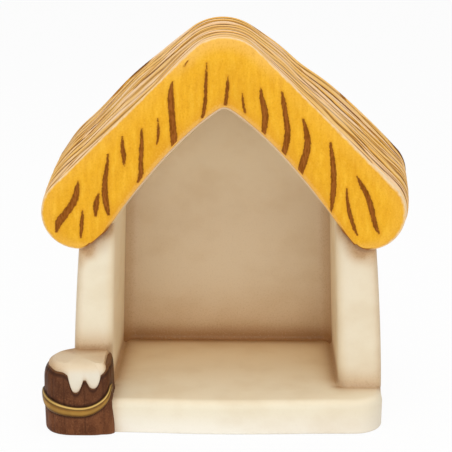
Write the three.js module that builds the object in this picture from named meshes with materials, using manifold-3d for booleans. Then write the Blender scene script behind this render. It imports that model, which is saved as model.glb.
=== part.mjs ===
// Table-top nativity stable in glazed ceramic: an open-fronted hut under a thatched roof, with a
// snow-filled bucket luted to its front left corner. Millimetres, +Z up, the open front faces -Y.
// Every piece is a casting that is luted to its neighbours; SEAM is the slip line between them.
import * as THREE from "three";
import { mergeVertices } from "three/addons/utils/BufferGeometryUtils.js";
import Module from "manifold-3d";

const wasm = await Module();
wasm.setup();

// Joints
const SEAM = 0.3;

// Floor slab. Y is counted from the slab's front, and the whole hut is centred at the end.
const SLAB_REACH_LEFT = 80.2;
const SLAB_REACH_RIGHT = 82.6;
const SLAB_DEPTH = 108;
const FLOOR_HEIGHT = 18;
const SLAB_BULGE = 2.2;
const SLAB_FRONT_CORNER = 16;
const SLAB_BACK_CORNER = 3;
const SLAB_TOP_ROUND = 4.5;
const SLAB_BOTTOM_ROUND = 2;
const SLAB_TUCK = 0.3;
const FOOT_RIM = 9;
const FOOT_RECESS = 1.5;
const VENT_RADIUS = 4.5;
const VENT_DEPTH = 6;
const VENT_SIDES = 24;

// Side walls and back wall
const STEP_DEPTH = 22;
const ROOM_HALF_WIDTH = 60;
const WALL_OUTER_LEAN = 5.3;
const WALL_OUTER_CURVE = 1.5;
const WALL_INNER_LEAN = 3;
const WALL_FRONT_INNER_ROUND = 6;
const WALL_FRONT_OUTER_ROUND = 4;
const BACK_THICKNESS = 8;
const CORNER_COVE = 8;

// Thatched roof: it swells towards the back, and its ridge drifts to the left
const RIDGE_HEIGHT = 203.6;
const RIDGE_DRIFT = 3;
const RIDGE_RADIUS_FRONT = 23.6;
const RIDGE_RADIUS_BACK = 29.6;
const SLOPE_FRONT = 44.5;
const SLOPE_BACK_LEFT = 37;
const SLOPE_BACK_RIGHT = 33;
const EAVE_RADIUS_FRONT = 18.8;
const EAVE_RADIUS_BACK = 20.5;
const EAVE_REACH_FRONT_LEFT = 92.2;
const EAVE_REACH_FRONT_RIGHT = 90.1;
const EAVE_REACH_BACK_LEFT = 98.5;
const EAVE_REACH_BACK_RIGHT = 101.4;
const EAVE_BOTTOM_FRONT = 95.9;
const EAVE_BOTTOM_BACK_LEFT = 93.4;
const EAVE_BOTTOM_BACK_RIGHT = 94.9;
const EAVE_SWELL_CURVE = 0.5;
const EAVE_TURN_END = 178;
const EAVE_HEEL_RADIUS = 8;
const EAVE_HEEL_END = 227;
const ROOF_SETBACK = 10;
const ROOF_BACK_OVERHANG = 2;
const VERGE_THICKNESS = 5;
const VERGE_ROUND = 1.2;

// Ceiling line: a rounded gable under the thatch that steepens towards the walls
const THATCH_AT_RIDGE = 34.9;
const CEILING_APEX = RIDGE_HEIGHT - THATCH_AT_RIDGE;
const CEILING_SPRING = 105;
const SPRING_HALF_WIDTH = 60;
const CEILING_STEEPENING = 23.8;
const CEILING_ROUND = 2.7;

// Ceiling vault: a thin skin under the ceiling line, with a thicker core let into the roof
const VAULT_SKIN = 1.2;
const VAULT_RISE = 2;
const VAULT_BEARING = 2.6;

// Straw laid from ridge to eave: strands side by side along the roof, each with a slow waver
const STRAND_PITCH = 8;
const STRAND_DEPTH = 1.2;
const STRAND_WAVER = 1.3;
const STRAND_WAVE_LENGTH = 34;
const STRAND_SHIFT = 1.7;

// Straw cuts in the verge's face: the middle's distance right of the ridge and its rise above the
// verge's lower edge, the cut's length and width, and its lean from upright in degrees
const CUT_DEPTH = 0.7;
const CUT_SIDES = 12;
const CUT_BANDS = 8;
const STRAW_CUTS = [
  [-79, 22, 27, 4.2, 25],
  [-72.3, 13, 13, 2.1, 5],
  [-64.4, 21, 11, 3, 7],
  [-59.2, 24, 29, 3.6, 3],
  [-50.7, 28.5, 14, 2.6, -4],
  [-42, 15.5, 26, 3, 4],
  [-33.2, 16, 13, 1.8, 2],
  [-26, 17.5, 31, 4, -2],
  [-9.6, 14.5, 27, 2.2, 4],
  [1, 9, 15, 2, 4],
  [9.4, 9, 10, 1.5, -6],
  [19.4, 13.6, 25, 3.8, -3],
  [30.3, 17.4, 33, 3.6, -2],
  [40.3, 15, 29, 4.2, 2],
  [54, 19, 34, 3.4, -3],
  [63.4, 18, 24, 2.3, -12],
  [72.6, 23.5, 31, 3.3, -20],
];

// Bucket at the left front corner, placed from the wall's outer face and the slab's front. Where
// it is luted to the hut it spreads towards its foot.
const BUCKET_INBOARD = 4.2;
const BUCKET_INSET = 11.9;
const BUCKET_RADIUS = 17.7;
const BUCKET_SPREAD = 1.6;
const BUCKET_FRONT_SQUARENESS = 5;
const BUCKET_BACK_SQUARENESS = 3.4;
const BUCKET_TOP = 38.4;
const BUCKET_SHOULDER = 12;
const BUCKET_OPEN_DOME = 2.2;
const BUCKET_LUTED_DOME = 6;
const BUCKET_FOOT_ROUND = 3;
const BUCKET_FOOT_TAPER = 0.4;
const STAVE_COUNT = 18;
const STAVE_GROOVE = 0.5;

// How far to the right the bucket is still free, and from where it is luted, as sines of the angle
const BUCKET_FREE_TO = 0.7;
const BUCKET_LUTED_FROM = 0.95;

// Snow heaped in the bucket. Each run down the front has its angle to the right of the front, its
// half width to its left and right in degrees, its fall below the snow's edge and its bluntness.
const SNOW_THICKNESS = 0.9;
const SNOW_LIP = 0.15;
const SNOW_EDGE = 34.4;
const SNOW_SEAT = 35;
const SNOW_SEAT_INSET = 6;
const SNOW_RUNS = [
  [13, 26, 27, 3.6, 4],
  [0.5, 9.4, 13, 10.1, 2.4],
  [28, 10.5, 8, 7.9, 2.2],
];

// Bail, lowered on to the bucket's front. It rises to either end from its lowest place.
const HANDLE_LOW = 13.6;
const HANDLE_MIDDLE = 4;
const HANDLE_LEFT_RISE = 7.2;
const HANDLE_LEFT_REACH = 84;
const HANDLE_LEFT_CURVE = 1.6;
const HANDLE_LEFT_WIDTH = 9.6;
const HANDLE_RIGHT_RISE = 11;
const HANDLE_RIGHT_REACH = 54;
const HANDLE_RIGHT_CURVE = 2.5;
const HANDLE_WIDTH = 5.4;
const HANDLE_THICKNESS = 1.4;
const HANDLE_SIDES = 10;
const HANDLE_END_SHARE = 0.25;

// Steps of the curves
const ARC_STEPS = 8;
const ROUND_STEPS = 3;
const SLOPE_STEPS = 8;
const CEILING_STEPS = 24;
const LEVELS = 6;
const BUCKET_STEPS = STAVE_COUNT * 4;

const radians = THREE.MathUtils.degToRad;
const lerp = THREE.MathUtils.lerp;
const clamp = THREE.MathUtils.clamp;
const smooth = THREE.MathUtils.smoothstep;
const range = (count) => Array.from({ length: count }, (_, i) => i);
// Shares from 0 to 1 in equal steps.
const shares = (steps) => range(steps + 1).map((i) => i / steps);

const LEFT = -1;
const RIGHT = 1;

// Solids

// A closed geometry with its shared corners merged, as a solid.
function solidOf(geometry) {
  const bare = new THREE.BufferGeometry();
  bare.setAttribute("position", geometry.getAttribute("position"));
  if (geometry.index) bare.setIndex(geometry.index);
  const merged = mergeVertices(bare, 1e-4);
  const mesh = new wasm.Mesh({
    numProp: 3,
    vertProperties: merged.attributes.position.array,
    triVerts: new Uint32Array(merged.index.array),
  });
  return new wasm.Manifold(mesh);
}

// Triangles that fill an outline. Each point is moved by a hair first, because those along a
// straight edge would be left out.
function fill(outline) {
  const hair = 1e-5;
  const uneven = outline.map(
    (p, i) => new THREE.Vector2(p.x + hair * Math.sin(7 * i), p.y + hair * Math.cos(5 * i)),
  );
  const triangles = THREE.ShapeUtils.triangulateShape(uneven, []);
  const turn = ([a, b, c]) => THREE.ShapeUtils.area([uneven[a], uneven[b], uneven[c]]);
  const area = triangles.reduce((sum, triangle) => sum + turn(triangle), 0);
  const along = Math.sign(area) === Math.sign(THREE.ShapeUtils.area(uneven));
  return along ? triangles : triangles.map(([a, b, c]) => [a, c, b]);
}

// Skins a stack of rings with equal counts of points. The two end rings are flat, and `flatten`
// gives their points in that plane.
function skin(rings, flatten) {
  const count = rings[0].length;
  const points = rings.flat();
  const last = points.length - count;
  const faces = fill(rings[0].map(flatten)).map(([a, b, c]) => [a, c, b]);
  for (let start = 0; start < last; start += count) {
    for (let i = 0; i < count; i++) {
      const [a, b] = [start + i, start + ((i + 1) % count)];
      faces.push([a, b, b + count], [a, b + count, a + count]);
    }
  }
  for (const triangle of fill(rings.at(-1).map(flatten))) {
    faces.push(triangle.map((i) => last + i));
  }
  const volume = faces.reduce((sum, [a, b, c]) => sum + points[a].dot(points[b].clone().cross(points[c])), 0);
  const geometry = new THREE.BufferGeometry().setFromPoints(points);
  geometry.setIndex(faces.flatMap(([a, b, c]) => (volume > 0 ? [a, b, c] : [a, c, b])));
  return solidOf(geometry);
}

const inPlan = (p) => new THREE.Vector2(p.x, p.y);
const inElevation = (p) => new THREE.Vector2(p.x, p.z);
const fromSide = (p) => new THREE.Vector2(p.y, p.z);

// A flat outline in X and Z, carried from one Y to another.
function prism(outline, fromY, toY) {
  return skin(
    [fromY, toY].map((y) => outline.map(([x, z]) => new THREE.Vector3(x, y, z))),
    inElevation,
  );
}

// Points round a corner, from one angle to another in degrees.
function arc(x, y, radius, from, to) {
  return shares(ARC_STEPS).map((share) => {
    const angle = radians(lerp(from, to, share));
    return [x + radius * Math.cos(angle), y + radius * Math.sin(angle)];
  });
}

// A closed outline from its right and its left half. Each runs from the front middle to the back
// middle, with distances from the middle instead of X.
function bothSides(halfOf) {
  const left = halfOf(LEFT).filter(([x]) => x > SEAM / 10);
  return [...halfOf(RIGHT), ...left.map(([x, ...rest]) => [-x, ...rest]).reverse()];
}

function meshOf(name, solid, material) {
  const { vertProperties, triVerts } = solid.getMesh();
  const geometry = new THREE.BufferGeometry();
  geometry.setAttribute("position", new THREE.BufferAttribute(new Float32Array(vertProperties), 3));
  geometry.setIndex(new THREE.BufferAttribute(new Uint32Array(triVerts), 1));
  geometry.computeVertexNormals();
  const mesh = new THREE.Mesh(geometry, material);
  mesh.name = name;
  return mesh;
}

// Where the walls and the ceiling run

const BACK_INNER = SLAB_DEPTH - BACK_THICKNESS;
const ROOF_BACK = SLAB_DEPTH + ROOF_BACK_OVERHANG;

// How far up the wall a height is, from 0 at the floor to 1 at the ceiling's spring.
const wallShare = (z) => clamp((z - FLOOR_HEIGHT) / (CEILING_SPRING - FLOOR_HEIGHT), 0, 1);
const slabReach = (side) => (side === LEFT ? SLAB_REACH_LEFT : SLAB_REACH_RIGHT);
const wallOuter = (z, side) => slabReach(side) - WALL_OUTER_LEAN * wallShare(z) ** WALL_OUTER_CURVE;
const wallInner = (z) => ROOM_HALF_WIDTH - WALL_INNER_LEAN * wallShare(z);

// The ceiling line's height at a distance x from the middle.
function ceilingAt(x) {
  const run = (v) => Math.hypot(v, CEILING_ROUND) - CEILING_ROUND;
  const fall = CEILING_APEX - CEILING_SPRING - CEILING_STEEPENING;
  const straight = (fall * run(x)) / run(SPRING_HALF_WIDTH);
  return CEILING_APEX - straight - CEILING_STEEPENING * (x / SPRING_HALF_WIDTH) ** 2;
}

// Points of the ceiling line from -reach to +reach, moved up square to it by `lift`.
function ceilingLine(reach, lift) {
  const step = 0.01;
  return shares(CEILING_STEPS).map((share) => {
    const x = reach * (2 * share - 1);
    const slope = (ceilingAt(x + step) - ceilingAt(x - step)) / (2 * step);
    const size = Math.hypot(1, slope);
    return [x - (lift * slope) / size, ceilingAt(x) + lift / size];
  });
}

// A sheet between two heights over the ceiling line.
function ceilingSheet(reach, low, high, fromY, toY) {
  return prism([...ceilingLine(reach, low), ...ceilingLine(reach, high).reverse()], fromY, toY);
}

// Floor slab

// The slab's outline at one height. Its open front part is inset, and so are its sides under the
// walls, but by an amount of their own.
function slabRing(z, inset, wallInset, grow) {
  const outline = bothSides((side) => {
    const half = slabReach(side) + grow;
    const radius = SLAB_FRONT_CORNER;
    const back = SLAB_DEPTH + grow - wallInset;
    const flank = half - wallInset;
    const front = shares(ARC_STEPS).slice(0, -1).map((share) => {
      const bow = SLAB_BULGE * Math.cos((Math.PI / 2) * share) ** 2;
      return [(half - radius) * share, inset - grow - bow];
    });
    const corner = arc(half - radius, radius - grow, radius - inset, -90, 0);
    const heel = arc(flank - SLAB_BACK_CORNER, back - SLAB_BACK_CORNER, SLAB_BACK_CORNER, 0, 90);
    return [...front, ...corner, [flank, STEP_DEPTH + SLAB_TOP_ROUND], ...heel];
  });
  return outline.map(([x, y]) => new THREE.Vector3(x, y, z));
}

// The slab's upper part, which what stands against it is fitted to, and under it a rounded foot
// or, for cutting, a straight one.
function slabBlank(grow = 0) {
  const foot = shares(ROUND_STEPS).map((share) => {
    const inset = SLAB_TUCK + SLAB_BOTTOM_ROUND * (1 - Math.sin(radians(90 * share)));
    return slabRing(SLAB_BOTTOM_ROUND * (1 - Math.cos(radians(90 * share))), inset, inset, 0);
  });
  const top = shares(ROUND_STEPS).map((share) => {
    const inset = SLAB_TOP_ROUND * (1 - Math.cos(radians(90 * share)));
    const z = FLOOR_HEIGHT - SLAB_TOP_ROUND * (1 - Math.sin(radians(90 * share)));
    return slabRing(z + grow, inset, 0, grow);
  });
  return skin(grow ? [slabRing(-grow, 0, 0, grow), ...top] : [...foot, ...top], inPlan);
}

function baseSlab() {
  const rim = SLAB_TUCK + SLAB_BOTTOM_ROUND + FOOT_RIM;
  const width = SLAB_REACH_LEFT + SLAB_REACH_RIGHT - 2 * rim;
  const recess = new THREE.BoxGeometry(width, SLAB_DEPTH - 2 * rim, 2 * FOOT_RECESS);
  recess.translate((SLAB_REACH_RIGHT - SLAB_REACH_LEFT) / 2, SLAB_DEPTH / 2, 0);
  const vent = new THREE.CylinderGeometry(VENT_RADIUS, VENT_RADIUS, 2 * VENT_DEPTH, VENT_SIDES);
  vent.rotateX(Math.PI / 2);
  vent.translate(0, SLAB_DEPTH / 2, 0);
  return slabBlank().subtract(solidOf(recess)).subtract(solidOf(vent));
}

// Walls

// One side wall, leaning in with the height and rounded at its open end.
function wallBlank(side, grow = 0) {
  const base = FLOOR_HEIGHT + SEAM - grow;
  const top = CEILING_SPRING + EAVE_RADIUS_FRONT / 2;
  const rings = shares(LEVELS).map((share) => {
    const z = lerp(base, top, share);
    const [inner, outer] = [wallInner(z) - grow, wallOuter(z, side) + grow];
    const round = (x, radius, from) => arc(x, STEP_DEPTH - grow + radius, radius, from, from + 90);
    const plan = [
      ...round(inner + WALL_FRONT_INNER_ROUND, WALL_FRONT_INNER_ROUND, 180),
      ...round(outer - WALL_FRONT_OUTER_ROUND, WALL_FRONT_OUTER_ROUND, 270),
      [outer, BACK_INNER - SEAM],
      [inner, BACK_INNER - SEAM],
    ];
    return plan.map(([x, y]) => new THREE.Vector3(side * x, y, z));
  });
  return skin(rings, inPlan);
}

const sideWall = (side) => wallBlank(side).subtract(thatchBlank(SEAM)).subtract(vaultBlank(SEAM));

// The gabled back, with a cove up each inner corner.
function backWall() {
  const rings = shares(2 * LEVELS).map((share) => {
    const z = lerp(FLOOR_HEIGHT + SEAM, CEILING_APEX + VAULT_RISE, share);
    const inner = wallInner(z) - SEAM;
    const outline = bothSides((side) => {
      const cove = arc(inner - CORNER_COVE, BACK_INNER - CORNER_COVE, CORNER_COVE, 0, 90).reverse();
      const outer = wallOuter(z, side);
      return [...cove, [inner, BACK_INNER], [outer, BACK_INNER], [outer, SLAB_DEPTH]];
    });
    return outline.map(([x, y]) => new THREE.Vector3(x, y, z));
  });
  const eave = Math.min(EAVE_BOTTOM_BACK_LEFT, EAVE_BOTTOM_BACK_RIGHT) + EAVE_RADIUS_BACK / 2;
  const gable = [
    ...ceilingLine(SPRING_HALF_WIDTH, 0),
    [SLAB_REACH_RIGHT, eave],
    [SLAB_REACH_RIGHT, 0],
    [-SLAB_REACH_LEFT, 0],
    [-SLAB_REACH_LEFT, eave],
  ];
  return skin(rings, inPlan)
    .intersect(prism(gable, 0, SLAB_DEPTH))
    .subtract(thatchBlank(SEAM))
    .subtract(vaultBlank(SEAM));
}

// Ceiling vault

// The skin runs right through, and the core stops short of the roof's two verges.
function vaultBlank(grow = 0) {
  const reach = wallInner(CEILING_SPRING) + VAULT_BEARING + grow;
  const low = -SEAM - VAULT_SKIN - grow;
  const sheet = ceilingSheet(reach, low, grow - SEAM, ROOF_SETBACK - grow, ROOF_BACK + grow);
  const inset = VERGE_THICKNESS + SEAM - grow;
  const core = ceilingSheet(reach, low, VAULT_RISE + grow, ROOF_SETBACK + inset, ROOF_BACK - inset);
  return sheet.add(core);
}

// Thatched roof

// The direction square to a slope of this angle.
const outwards = (angle) => new THREE.Vector2(Math.sin(angle), Math.cos(angle));

const roofReach = {
  [LEFT]: [EAVE_REACH_FRONT_LEFT, EAVE_REACH_BACK_LEFT],
  [RIGHT]: [EAVE_REACH_FRONT_RIGHT, EAVE_REACH_BACK_RIGHT],
};
const roofBottom = {
  [LEFT]: [EAVE_BOTTOM_FRONT, EAVE_BOTTOM_BACK_LEFT],
  [RIGHT]: [EAVE_BOTTOM_FRONT, EAVE_BOTTOM_BACK_RIGHT],
};
const slopeBack = { [LEFT]: SLOPE_BACK_LEFT, [RIGHT]: SLOPE_BACK_RIGHT };

// How much of the straw's relief is left at a share of the way down the round of the eave.
const strawFade = (share) => 1 - smooth(share, 0.5, 0.9);

// Half of the roof's outline at one depth, from the ridge round the eave and back along the
// ceiling line. `grow` moves it outwards, and `wave` gives how far the straw dips and wavers at a
// distance along it.
function thatchHalf(y, side, grow, wave) {
  const depth = clamp((y - ROOF_SETBACK) / (ROOF_BACK - ROOF_SETBACK), 0, 1);
  const swell = depth ** EAVE_SWELL_CURVE;
  const drift = RIDGE_DRIFT * depth;
  const ridgeRadius = lerp(RIDGE_RADIUS_FRONT, RIDGE_RADIUS_BACK, depth);
  const eaveRadius = lerp(EAVE_RADIUS_FRONT, EAVE_RADIUS_BACK, depth);
  const reach = lerp(...roofReach[side], swell) + side * drift;
  const bottom = lerp(...roofBottom[side], swell);
  const ridge = new THREE.Vector2(0, RIDGE_HEIGHT - ridgeRadius);
  const eave = new THREE.Vector2(reach - eaveRadius, bottom + eaveRadius);
  // The slope is the arc that leaves the ridge at its slope and runs on into the round of the eave.
  const start = radians(lerp(SLOPE_FRONT, slopeBack[side], depth));
  const leaving = outwards(start);
  const gap = ridge.clone().addScaledVector(leaving, ridgeRadius).sub(eave);
  const slopeRadius = (gap.lengthSq() - eaveRadius ** 2) / (2 * (gap.dot(leaving) - eaveRadius));
  const slope = ridge.clone().addScaledVector(leaving, ridgeRadius - slopeRadius);
  const bowed = Math.sign(slopeRadius);
  const turn = Math.atan2(bowed * (eave.x - slope.x), bowed * (eave.y - slope.y));
  const end = radians(EAVE_TURN_END);
  const heel = eave.clone().addScaledVector(outwards(end), eaveRadius - EAVE_HEEL_RADIUS);
  const spots = [];
  const addArc = (centre, radius, from, to, steps, fadeAt) => {
    for (const share of shares(steps).slice(spots.length ? 1 : 0)) {
      const angle = lerp(from, to, share);
      const spot = centre.clone().addScaledVector(outwards(angle), radius);
      const last = spots.at(-1);
      const length = last ? last.length + spot.distanceTo(last.spot) : 0;
      spots.push({ spot, angle, length, fade: fadeAt(share) });
    }
  };
  addArc(ridge, ridgeRadius, 0, start, ARC_STEPS / 2, (share) => share);
  addArc(slope, slopeRadius, start, turn, SLOPE_STEPS, () => 1);
  addArc(eave, eaveRadius, turn, end, ARC_STEPS, strawFade);
  addArc(heel, EAVE_HEEL_RADIUS, end, radians(EAVE_HEEL_END), ARC_STEPS / 2, () => 0);
  const outside = spots.map(({ spot, angle, length, fade }) => {
    const [dip, waver] = wave(length);
    const moved = spot.clone().addScaledVector(outwards(angle), grow - dip * fade);
    return new THREE.Vector3(side * moved.x - drift, y + waver * fade, moved.y);
  });
  const underside = ceilingLine(SPRING_HALF_WIDTH, -grow).slice(CEILING_STEPS / 2).reverse();
  return [...outside, ...underside.map(([x, z]) => new THREE.Vector3(side * x, y, z))];
}

function thatchRing(y, { grow = 0, wave = () => [0, 0] } = {}) {
  const left = thatchHalf(y, LEFT, grow, wave).slice(1, -1).reverse();
  return [...thatchHalf(y, RIGHT, grow, wave), ...left];
}

// The roof without its straw, for cutting what it sits on.
function thatchBlank(grow) {
  const rings = shares(LEVELS).map((share) => {
    const y = lerp(ROOF_SETBACK, ROOF_BACK, share ** (1 / EAVE_SWELL_CURVE));
    const end = share === 0 ? -grow : share === 1 ? grow : 0;
    return thatchRing(y, { grow }).map((p) => p.setY(y + end));
  });
  return skin(rings, inElevation);
}

// Rings round off one verge, from its face inwards. `inward` is 1 at the front and -1 at the back.
function vergeRings(faceY, inward) {
  return shares(ROUND_STEPS).map((share) => {
    const angle = radians(90 * share);
    const y = faceY + inward * VERGE_ROUND * (1 - Math.cos(angle));
    return thatchRing(y, { grow: -VERGE_ROUND * (1 - Math.sin(angle)) });
  });
}

// One ring on each strand's crest and one in each groove between two strands.
function strandRings() {
  const from = ROOF_SETBACK + 2 * VERGE_ROUND;
  const to = ROOF_BACK - 2 * VERGE_ROUND;
  const beats = 2 * Math.max(2, Math.round((to - from) / STRAND_PITCH));
  return range(beats - 1).map((i) => {
    const dip = i % 2 ? 0 : STRAND_DEPTH;
    const turn = (along) => (2 * Math.PI * along) / STRAND_WAVE_LENGTH + STRAND_SHIFT * i;
    const wave = (along) => [dip, STRAND_WAVER * Math.sin(turn(along))];
    return thatchRing(lerp(from, to, (i + 1) / beats), { wave });
  });
}

// A slim almond cut into the verge's face.
function strawCut([x, rise, length, width, lean]) {
  const almond = new THREE.SphereGeometry(1, CUT_SIDES, CUT_BANDS);
  almond.scale(width / 2, CUT_DEPTH, length / 2);
  almond.rotateY(radians(lean));
  almond.translate(x, ROOF_SETBACK, Math.max(ceilingAt(x), EAVE_BOTTOM_FRONT) + rise);
  return solidOf(almond);
}

function thatchedRoof() {
  const rings = [
    ...vergeRings(ROOF_SETBACK, 1),
    ...strandRings(),
    ...vergeRings(ROOF_BACK, -1).reverse(),
  ];
  const body = skin(rings, inElevation).subtract(vaultBlank(SEAM));
  return STRAW_CUTS.reduce((roof, cut) => roof.subtract(strawCut(cut)), body);
}

// Bucket

const BUCKET_X = BUCKET_INBOARD - SLAB_REACH_LEFT;
const BUCKET_Y = BUCKET_INSET;
const SHOULDER_START = BUCKET_TOP - BUCKET_SHOULDER;

// The bucket is round in plan on its open side and fuller where it runs into the hut. The angle
// is counted from the front, positive towards the right.
function bucketPlan(angle) {
  const [right, front] = [Math.sin(angle), Math.cos(angle)];
  const fuller = front > 0 ? BUCKET_FRONT_SQUARENESS : BUCKET_BACK_SQUARENESS;
  const power = right > 0 ? fuller : 2;
  return (Math.abs(right) ** power + Math.abs(front) ** power) ** (-1 / power);
}

// The bucket's radius at one height: a domed shoulder, and below it a slight taper to a rounded
// foot where it stands clear, or a spread foot where it is luted to the hut.
function bucketRadius(z, angle) {
  const clear = 1 - smooth(Math.sin(angle), BUCKET_FREE_TO, BUCKET_LUTED_FROM);
  const below = BUCKET_FOOT_ROUND - clamp(z, 0, BUCKET_FOOT_ROUND);
  const foot = BUCKET_FOOT_ROUND - Math.sqrt(BUCKET_FOOT_ROUND ** 2 - below ** 2);
  const down = 1 - smooth(z, 0, SHOULDER_START);
  const width = BUCKET_RADIUS + lerp(BUCKET_SPREAD * down, -foot - BUCKET_FOOT_TAPER * down, clear);
  const up = clamp((z - SHOULDER_START) / BUCKET_SHOULDER, 0, 1);
  const dome = lerp(BUCKET_LUTED_DOME, BUCKET_OPEN_DOME, clear);
  return width * (1 - up ** dome) ** (1 / dome);
}

// A point on the bucket, `out` from its surface.
function onBucket(angle, z, out = 0) {
  const radius = (bucketRadius(z, angle) + out) * bucketPlan(angle);
  return new THREE.Vector3(BUCKET_X + radius * Math.sin(angle), BUCKET_Y - radius * Math.cos(angle), z);
}

const bucketAngles = range(BUCKET_STEPS).map((i) => (2 * Math.PI * i) / BUCKET_STEPS);

// The bucket up to the flat top that the snow is heaped on.
function bucketBlank(grow, groove) {
  const foot = shares(ROUND_STEPS).map((share) => BUCKET_FOOT_ROUND * (1 - Math.cos(radians(90 * share))));
  const shoulder = shares(ARC_STEPS).map((share) => lerp(SHOULDER_START, SNOW_SEAT, share));
  const stave = BUCKET_STEPS / STAVE_COUNT;
  const rings = [...foot, lerp(BUCKET_FOOT_ROUND, SHOULDER_START, 0.5), ...shoulder].map((z) =>
    bucketAngles.map((angle, i) => onBucket(angle, z, grow - (i % stave ? 0 : groove))),
  );
  rings[0].forEach((p) => p.setZ(-grow));
  rings.at(-1).forEach((p) => p.setZ(SNOW_SEAT + grow));
  return skin(rings, inPlan);
}

// The corner of the hut that the bucket, its snow and its bail are fitted round.
const hutCorner = () => slabBlank(SEAM).add(wallBlank(LEFT, SEAM));

const bucket = () => bucketBlank(0, STAVE_GROOVE).subtract(hutCorner());

// The height of the snow's lower edge at an angle round the bucket.
function snowEdge(angle) {
  const degrees = THREE.MathUtils.radToDeg(Math.atan2(Math.sin(angle), Math.cos(angle)));
  const falls = SNOW_RUNS.map(([at, left, right, fall, blunt]) => {
    const away = Math.abs(degrees - at) / (degrees < at ? left : right);
    return fall * Math.exp(-(away ** blunt));
  });
  return SNOW_EDGE - Math.max(...falls);
}

// Snow from its edge over the dome. Its first ring lies inside the bucket and is cut away.
function snowCap() {
  const peak = BUCKET_TOP - SEAM / 4;
  const layers = shares(ARC_STEPS + 2).map((share) =>
    bucketAngles.map((angle) => {
      const z = lerp(snowEdge(angle), peak, Math.sin(radians(90 * share)));
      const p = onBucket(angle, z, share ? SNOW_THICKNESS : SEAM + SNOW_LIP);
      return p.setZ(z + SNOW_THICKNESS * smooth(z, SNOW_EDGE, BUCKET_TOP));
    }),
  );
  const seat = bucketAngles.map((angle) => onBucket(angle, SNOW_SEAT, -SNOW_SEAT_INSET));
  return skin([seat, ...layers], inPlan).subtract(bucketBlank(SEAM, 0)).subtract(hutCorner());
}

// The bail's height and width at an angle round the bucket.
function handleLine(angle) {
  const away = THREE.MathUtils.radToDeg(angle) - HANDLE_MIDDLE;
  const left = clamp(-away / (HANDLE_LEFT_REACH + HANDLE_MIDDLE), 0, 1) ** HANDLE_LEFT_CURVE;
  const right = clamp(away / (HANDLE_RIGHT_REACH - HANDLE_MIDDLE), 0, 1) ** HANDLE_RIGHT_CURVE;
  const height = HANDLE_LOW + HANDLE_LEFT_RISE * left + HANDLE_RIGHT_RISE * right;
  return [height, lerp(HANDLE_WIDTH, HANDLE_LEFT_WIDTH, left)];
}

// A rounded strap that lies on the bucket's front and narrows to each end.
function bucketHandle() {
  const rings = shares(4 * ARC_STEPS).map((share) => {
    const angle = radians(lerp(-HANDLE_LEFT_REACH, HANDLE_RIGHT_REACH, share));
    const [height, width] = handleLine(angle);
    const size = Math.max(HANDLE_END_SHARE, Math.sqrt(1 - (2 * share - 1) ** 4));
    return range(HANDLE_SIDES).map((k) => {
      const turn = (2 * Math.PI * k) / HANDLE_SIDES;
      const z = height + (size * width * Math.sin(turn)) / 2;
      return onBucket(angle, z, SEAM + (size * HANDLE_THICKNESS * (1 + Math.cos(turn))) / 2);
    });
  });
  return skin(rings, fromSide).subtract(hutCorner());
}

// Finishes
const glaze = (color, roughness = 0.45, metalness = 0) =>
  new THREE.MeshStandardMaterial({ color, roughness, metalness });
const creamGlaze = glaze(0xeadfc2);
const thatchGlaze = glaze(0xeeb132, 0.5);
const bucketGlaze = glaze(0x6b3a22, 0.5);
const snowGlaze = glaze(0xefe4cb, 0.4);
const goldLustre = glaze(0xc9973f, 0.35, 0.8);

const stable = new THREE.Group();
stable.add(
  meshOf("base_slab", baseSlab(), creamGlaze),
  meshOf("left_wall", sideWall(LEFT), creamGlaze),
  meshOf("right_wall", sideWall(RIGHT), creamGlaze),
  meshOf("back_wall", backWall(), creamGlaze),
  meshOf("ceiling_vault", vaultBlank(), creamGlaze),
  meshOf("thatched_roof", thatchedRoof(), thatchGlaze),
  meshOf("bucket", bucket(), bucketGlaze),
  meshOf("bucket_handle", bucketHandle(), goldLustre),
  meshOf("snow_cap", snowCap(), snowGlaze),
);

// The origin is the middle of the footprint.
const extent = new THREE.Box3().setFromObject(stable);
stable.position.set(-(extent.min.x + extent.max.x) / 2, -(extent.min.y + extent.max.y) / 2, 0);

export default stable;
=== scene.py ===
"""Table-top nativity stable of slip-cast, hand-painted and glazed earthenware.

Lengths are millimetres in the hut's own axes (X to the right, Y from the slab's front edge to the
back, Z up) until a mesh is written, which moves them into the row frame and turns them to metres.
"""
import logging
from collections.abc import Callable
from dataclasses import dataclass, field
from enum import Enum, IntEnum
from typing import Any, NamedTuple, Union

import bmesh
import bpy
import numpy as np
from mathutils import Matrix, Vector
from numpy.typing import NDArray

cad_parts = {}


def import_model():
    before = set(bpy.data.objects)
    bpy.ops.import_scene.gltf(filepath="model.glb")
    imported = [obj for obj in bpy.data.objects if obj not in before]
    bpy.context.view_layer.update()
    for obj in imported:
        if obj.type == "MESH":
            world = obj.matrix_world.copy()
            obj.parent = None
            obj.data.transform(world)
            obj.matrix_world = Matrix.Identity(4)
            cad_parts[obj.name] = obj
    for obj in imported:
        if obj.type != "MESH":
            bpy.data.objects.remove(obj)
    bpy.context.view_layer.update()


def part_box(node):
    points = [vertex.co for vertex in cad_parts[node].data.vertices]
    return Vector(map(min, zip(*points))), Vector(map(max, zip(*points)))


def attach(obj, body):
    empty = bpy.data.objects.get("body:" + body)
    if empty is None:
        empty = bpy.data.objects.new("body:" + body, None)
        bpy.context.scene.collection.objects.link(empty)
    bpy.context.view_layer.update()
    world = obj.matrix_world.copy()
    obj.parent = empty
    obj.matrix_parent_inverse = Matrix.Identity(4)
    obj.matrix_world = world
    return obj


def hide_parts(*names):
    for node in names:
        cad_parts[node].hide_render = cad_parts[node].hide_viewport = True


Numbers = NDArray[np.float64]
Indices = NDArray[np.int64]
Node = bpy.types.Node
Socket = bpy.types.NodeSocket
Tree = bpy.types.NodeTree
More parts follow.
